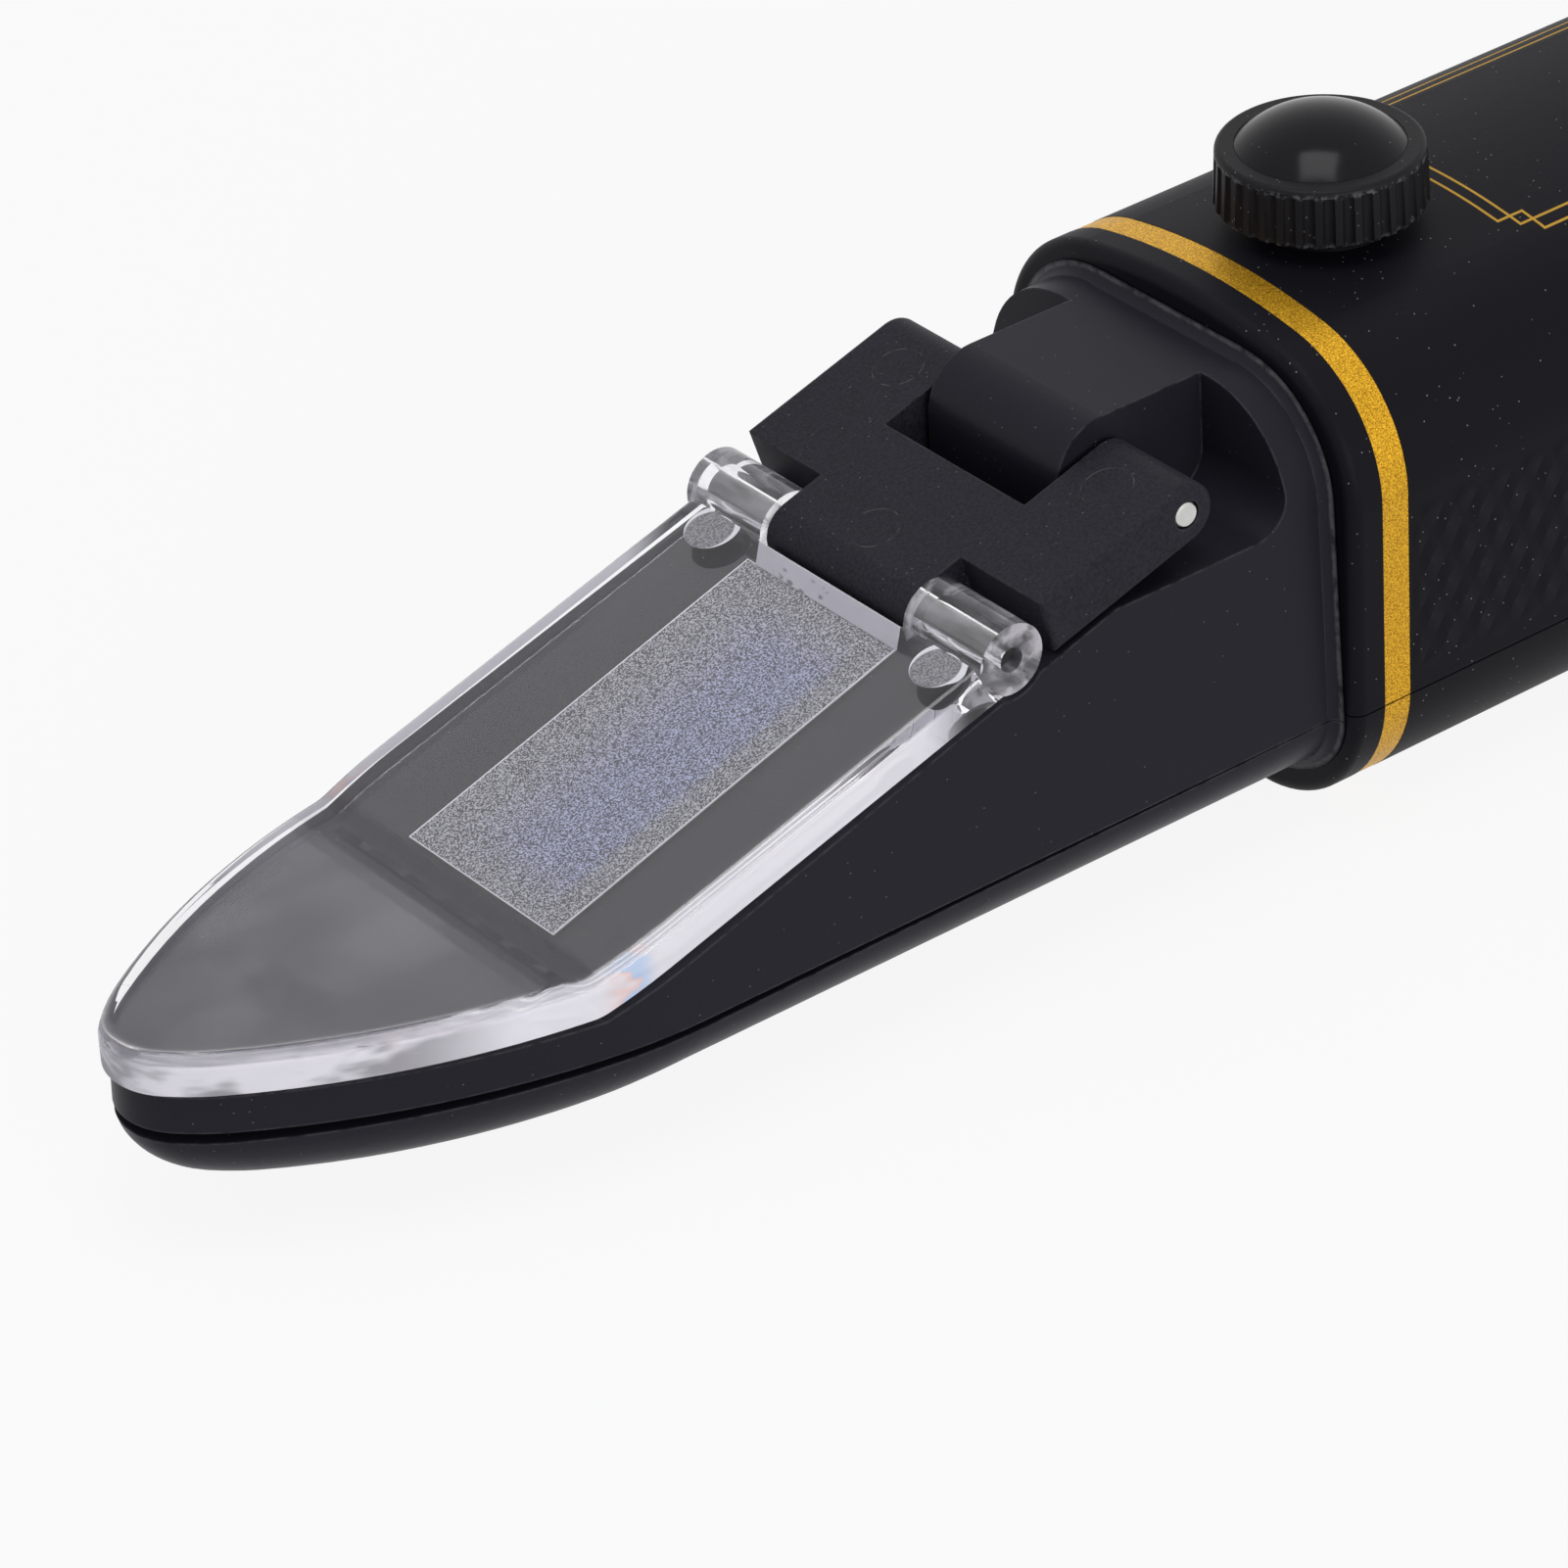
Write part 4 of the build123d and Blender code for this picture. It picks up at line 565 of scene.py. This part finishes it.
# End of the flap's slot: a sawn and chamfered face just in front of the link, with a few chips. Seen
# through the top of the flap it shows as one pale strip.
slot_face, slot_half, strip_low, strip_high = 0.01536, 0.0062, -0.00168, 0.00062
strip_thickness, strip_lean = 0.00003, 0.0007
chip_y, chip_reach, chip_soft = 2.2, 2.2, 0.6
sawn_dark, sawn_light, chip_dark = (0.84, 0.82, 0.87, 1.0), (0.98, 0.96, 1.0, 1.0), (0.18, 0.18, 0.20, 1.0)
sawn = Finish(bpy.data.materials.new("slot_end"))
x, y, z = sawn.coordinates()
chips = sawn.specks(1100.0, 0.42, 0.9) * sawn.noise(1500.0).ramp(0.42, 0.5)
chips = chips * y.near(chip_y, chip_reach, chip_soft)
colour = sawn.mix(chips * 0.8, sawn.mix(sawn.noise(500.0, detail=3.0), sawn_dark, sawn_light), chip_dark)
sawn.surface({"Base Color": colour, "Roughness": 0.7})
film(
    "slot_end",
    [
        (slot_face, -slot_half),
        (slot_face + strip_thickness, -slot_half),
        (slot_face + strip_thickness, slot_half),
        (slot_face, slot_half),
    ],
    strip_low,
    strip_high,
    sawn.owner,
    strip_lean,
)

# Two frosted round marks on the flap's top, beside the slot. They were left by the pins that pushed
# it out of its mould, and each has a fine bright rim, broadest at its rear.
spot_forward, spot_across, spot_radius, spot_sides = 0.01589, 0.00996, 0.0017, 48
spot_low, spot_high = -0.00022, -0.00017
rim_x, rim_y, rim_inner, rim_outer = rear_pin.x * 1000.0 - 15.4, spot_across * 1000.0, 1.42, 1.54
matt_dark, matt_light, rim_light = (0.12, 0.12, 0.13, 1.0), (0.34, 0.34, 0.36, 1.0), (0.92, 0.92, 0.94, 1.0)
mark = Finish(bpy.data.materials.new("frosted_mark"))
x, y, z = mark.coordinates()
colour = mark.mix(mark.noise(7000.0, detail=3.0, rough=0.7).ramp(0.42, 0.58), matt_dark, matt_light)
rim = on_slope(x - rim_x, abs(y) - rim_y).ramp(rim_inner, rim_outer)
mark.surface({"Base Color": mark.mix(rim, colour, rim_light), "Roughness": 0.5})
for side_name, side in (("left", 1), ("right", -1)):
    outline = []
    for step in range(spot_sides):
        turn = math.tau * step / spot_sides
        outline.append(
            (spot_forward + spot_radius * math.cos(turn), side * spot_across + spot_radius * math.sin(turn))
        )
    film("frosted_mark_" + side_name, outline, spot_low, spot_high, mark.owner)

# Prism: a block of polished glass with a blue cast, seated in the nose's window on its gasket.
# It is smudged a little where samples are wiped off it.
prism_index = 1.75
prism = Finish(bpy.data.materials.new("prism_glass"))
smudge = prism.noise(260.0, detail=3.0, rough=0.6, stretch=(1.0, 0.3, 1.0)).ramp(0.45, 0.75)
prism.surface(
    {
        "Base Color": prism.mix(smudge, (0.55, 0.62, 0.75, 1.0), (0.62, 0.68, 0.78, 1.0)),
        "Roughness": smudge * 0.06 + 0.02,
        "Transmission Weight": 1.0,
        "IOR": prism_index,
    }
)
paint(["prism"], prism.owner)

# Lenses and scale disc: clear glass, ground and polished, with a trace of haze. Each sits on
# a shoulder and is held there by a ring.
glass_index = 1.52
glass = Finish(bpy.data.materials.new("lens_glass"))
trace = glass.noise(700.0).ramp(0.5, 0.8)
glass.surface(
    {
        "Base Color": glass.mix(trace, (0.96, 0.98, 1.0, 1.0), (0.90, 0.93, 0.97, 1.0)),
        "Roughness": trace * 0.04,
        "Transmission Weight": 1.0,
        "IOR": glass_index,
    }
)
paint(["objective_lens", "reticle", "field_lens", "eye_lens"], glass.owner)

# Knob: a ring moulded in black plastic with a satin tooth, fixed on the calibration spindle.
# The ends of its flutes are worn light and hold dust, and so does its foot.
flute_reach, flute_full, flute_drop, flute_half = 0.5, 0.2, 0.4, 0.12
foot_high, foot_low, knob_relief = 0.35, 0.1, 0.00003
knob_dark, knob_light = (0.0070, 0.0068, 0.0082, 1.0), (0.0110, 0.0106, 0.0126, 1.0)
knob = Finish(bpy.data.materials.new("knob_black"))
knob_low, knob_high = (corner * 1000.0 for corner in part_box("calibration_knob"))
knob_centre = (knob_low.x + knob_high.x) / 2
knob_edge = (knob_high.x - knob_low.x) / 2
x, y, z = knob.coordinates()
from_axis = ((x - knob_centre) * (x - knob_centre) + y * y).math("SQRT")
flute_ends = from_axis.ramp(knob_edge - flute_reach, knob_edge - flute_full)
flute_ends = flute_ends * z.near(knob_high.z - flute_drop, flute_half, flute_half)
foot = z.ramp(knob_low.z + foot_high, knob_low.z + foot_low)
crumbs = knob.noise(2600.0, detail=3.0, rough=0.7).ramp(0.45, 0.62)
tooth = knob.noise(4500.0)
worn = (flute_ends * 0.45).math("MAXIMUM", foot * 0.3) * crumbs
colour = knob.mix(worn, knob.mix(tooth, knob_dark, knob_light), (0.22, 0.22, 0.23, 1.0))
knob.surface(
    {
        "Base Color": knob.mix(knob.dust(1.2) * 0.6, colour, coat_dust),
        "Roughness": tooth * 0.2 + 0.35,
        "Normal": knob.bump(tooth, 0.25, knob_relief),
        "Specular IOR Level": 0.12,
    }
)
paint(["calibration_knob"], knob.owner)

# Knob cap: a dome moulded in black plastic and polished, pressed into the ring.
# It has faint wipe marks.
dome_dark, dome_light = (0.0040, 0.0040, 0.0060, 1.0), (0.0060, 0.0060, 0.0085, 1.0)
dome = Finish(bpy.data.materials.new("dome_black"))
wiped = dome.noise(400.0, detail=3.0, rough=0.6)
colour = dome.mix(dome.dust(0.4) * 0.4, dome.mix(wiped, dome_dark, dome_light), coat_dust)
dome.surface({"Base Color": colour, "Roughness": wiped * 0.10 + 0.11, "Specular IOR Level": 0.14})
paint(["knob_cap"], dome.owner)


# Pins, spindle, clips and screws: bright steel, turned or stamped, with fine tool marks across them.
# The pins are pressed into their knuckles, and the clips are pushed on from the side.
def turned(name, dark, light, rough, relief=0.15):
    """Turned metal, its colour going between dark and light along fine marks."""
    mark_relief = 0.00002
    made = Finish(bpy.data.materials.new(name))
    marks = made.noise(1500.0, detail=3.0, rough=0.6, stretch=(1.0, 6.0, 1.0))
    made.surface(
        {
            "Base Color": made.mix(marks, dark, light),
            "Metallic": 1.0,
            "Roughness": marks * 0.2 + rough,
            "Normal": made.bump(marks, relief, mark_relief),
        }
    )
    return made.owner


paint(
    [
        "rear_hinge_pin",
        "calibration_spindle",
        "spindle_clip",
        "focus_clip",
        "guide_pin",
        "shell_screws",
        "nose_screws",
        "prism_clamp_screws",
    ],
    turned("pin_steel", (0.50, 0.50, 0.49, 1.0), (0.74, 0.74, 0.72, 1.0), 0.2),
)

# Front pin, prism clamp, and the rings and barrel inside: steel and aluminium, turned or stamped and
# blackened, so that no light strays between the lenses.
paint(["plate_hinge_pin"], turned("pin_dark", (0.05, 0.05, 0.05, 1.0), (0.12, 0.12, 0.12, 1.0), 0.3))
paint(["prism_clamp"], turned("clamp_black", (0.09, 0.09, 0.10, 1.0), (0.10, 0.10, 0.11, 1.0), 0.4, 0.02))
paint(
    ["lens_ring", "carriage_guide", "reticle_ring", "ocular_barrel", "lens_spacer", "ocular_retainer"],
    turned("inner_metal", (0.06, 0.06, 0.065, 1.0), (0.13, 0.13, 0.14, 1.0), 0.35),
)


# Holders of the optics, eyepiece socket, focusing ring, eyecup and gasket: black plastic and soft
# rubber, moulded with a fine tooth. The socket is held between the shells, and the eyecup
# grips the barrel.
def moulded(name, dark, light, scale, rough, relief):
    """Moulded plastic or rubber with a fine tooth of this scale and relief."""
    edge = 0.0001
    made = Finish(bpy.data.materials.new(name))
    tooth = made.noise(scale, detail=3.0, rough=0.6)
    colour = made.mix(tooth, dark, light)
    made.surface(
        {
            "Base Color": made.mix(made.dust(0.8) * 0.5, colour, (0.30, 0.30, 0.32, 1.0)),
            "Roughness": tooth * 0.15 + rough,
            "Normal": made.bump(tooth, 0.25, relief, made.edges(edge)),
            "Specular IOR Level": 0.15,
        }
    )
    return made.owner


paint(
    ["knob_washer", "lens_carriage", "reticle_holder", "light_baffle", "eyepiece_socket"],
    moulded("inner_black", (0.010, 0.010, 0.011, 1.0), (0.018, 0.018, 0.019, 1.0), 5000.0, 0.5, 0.00002),
)
paint(
    ["focus_ring"],
    moulded("focus_black", (0.009, 0.009, 0.012, 1.0), (0.015, 0.015, 0.019, 1.0), 6000.0, 0.35, 0.00003),
)
paint(
    ["eyecup", "prism_gasket"],
    moulded("soft_rubber", (0.009, 0.009, 0.009, 1.0), (0.017, 0.017, 0.017, 1.0), 2500.0, 0.6, 0.00004),
)
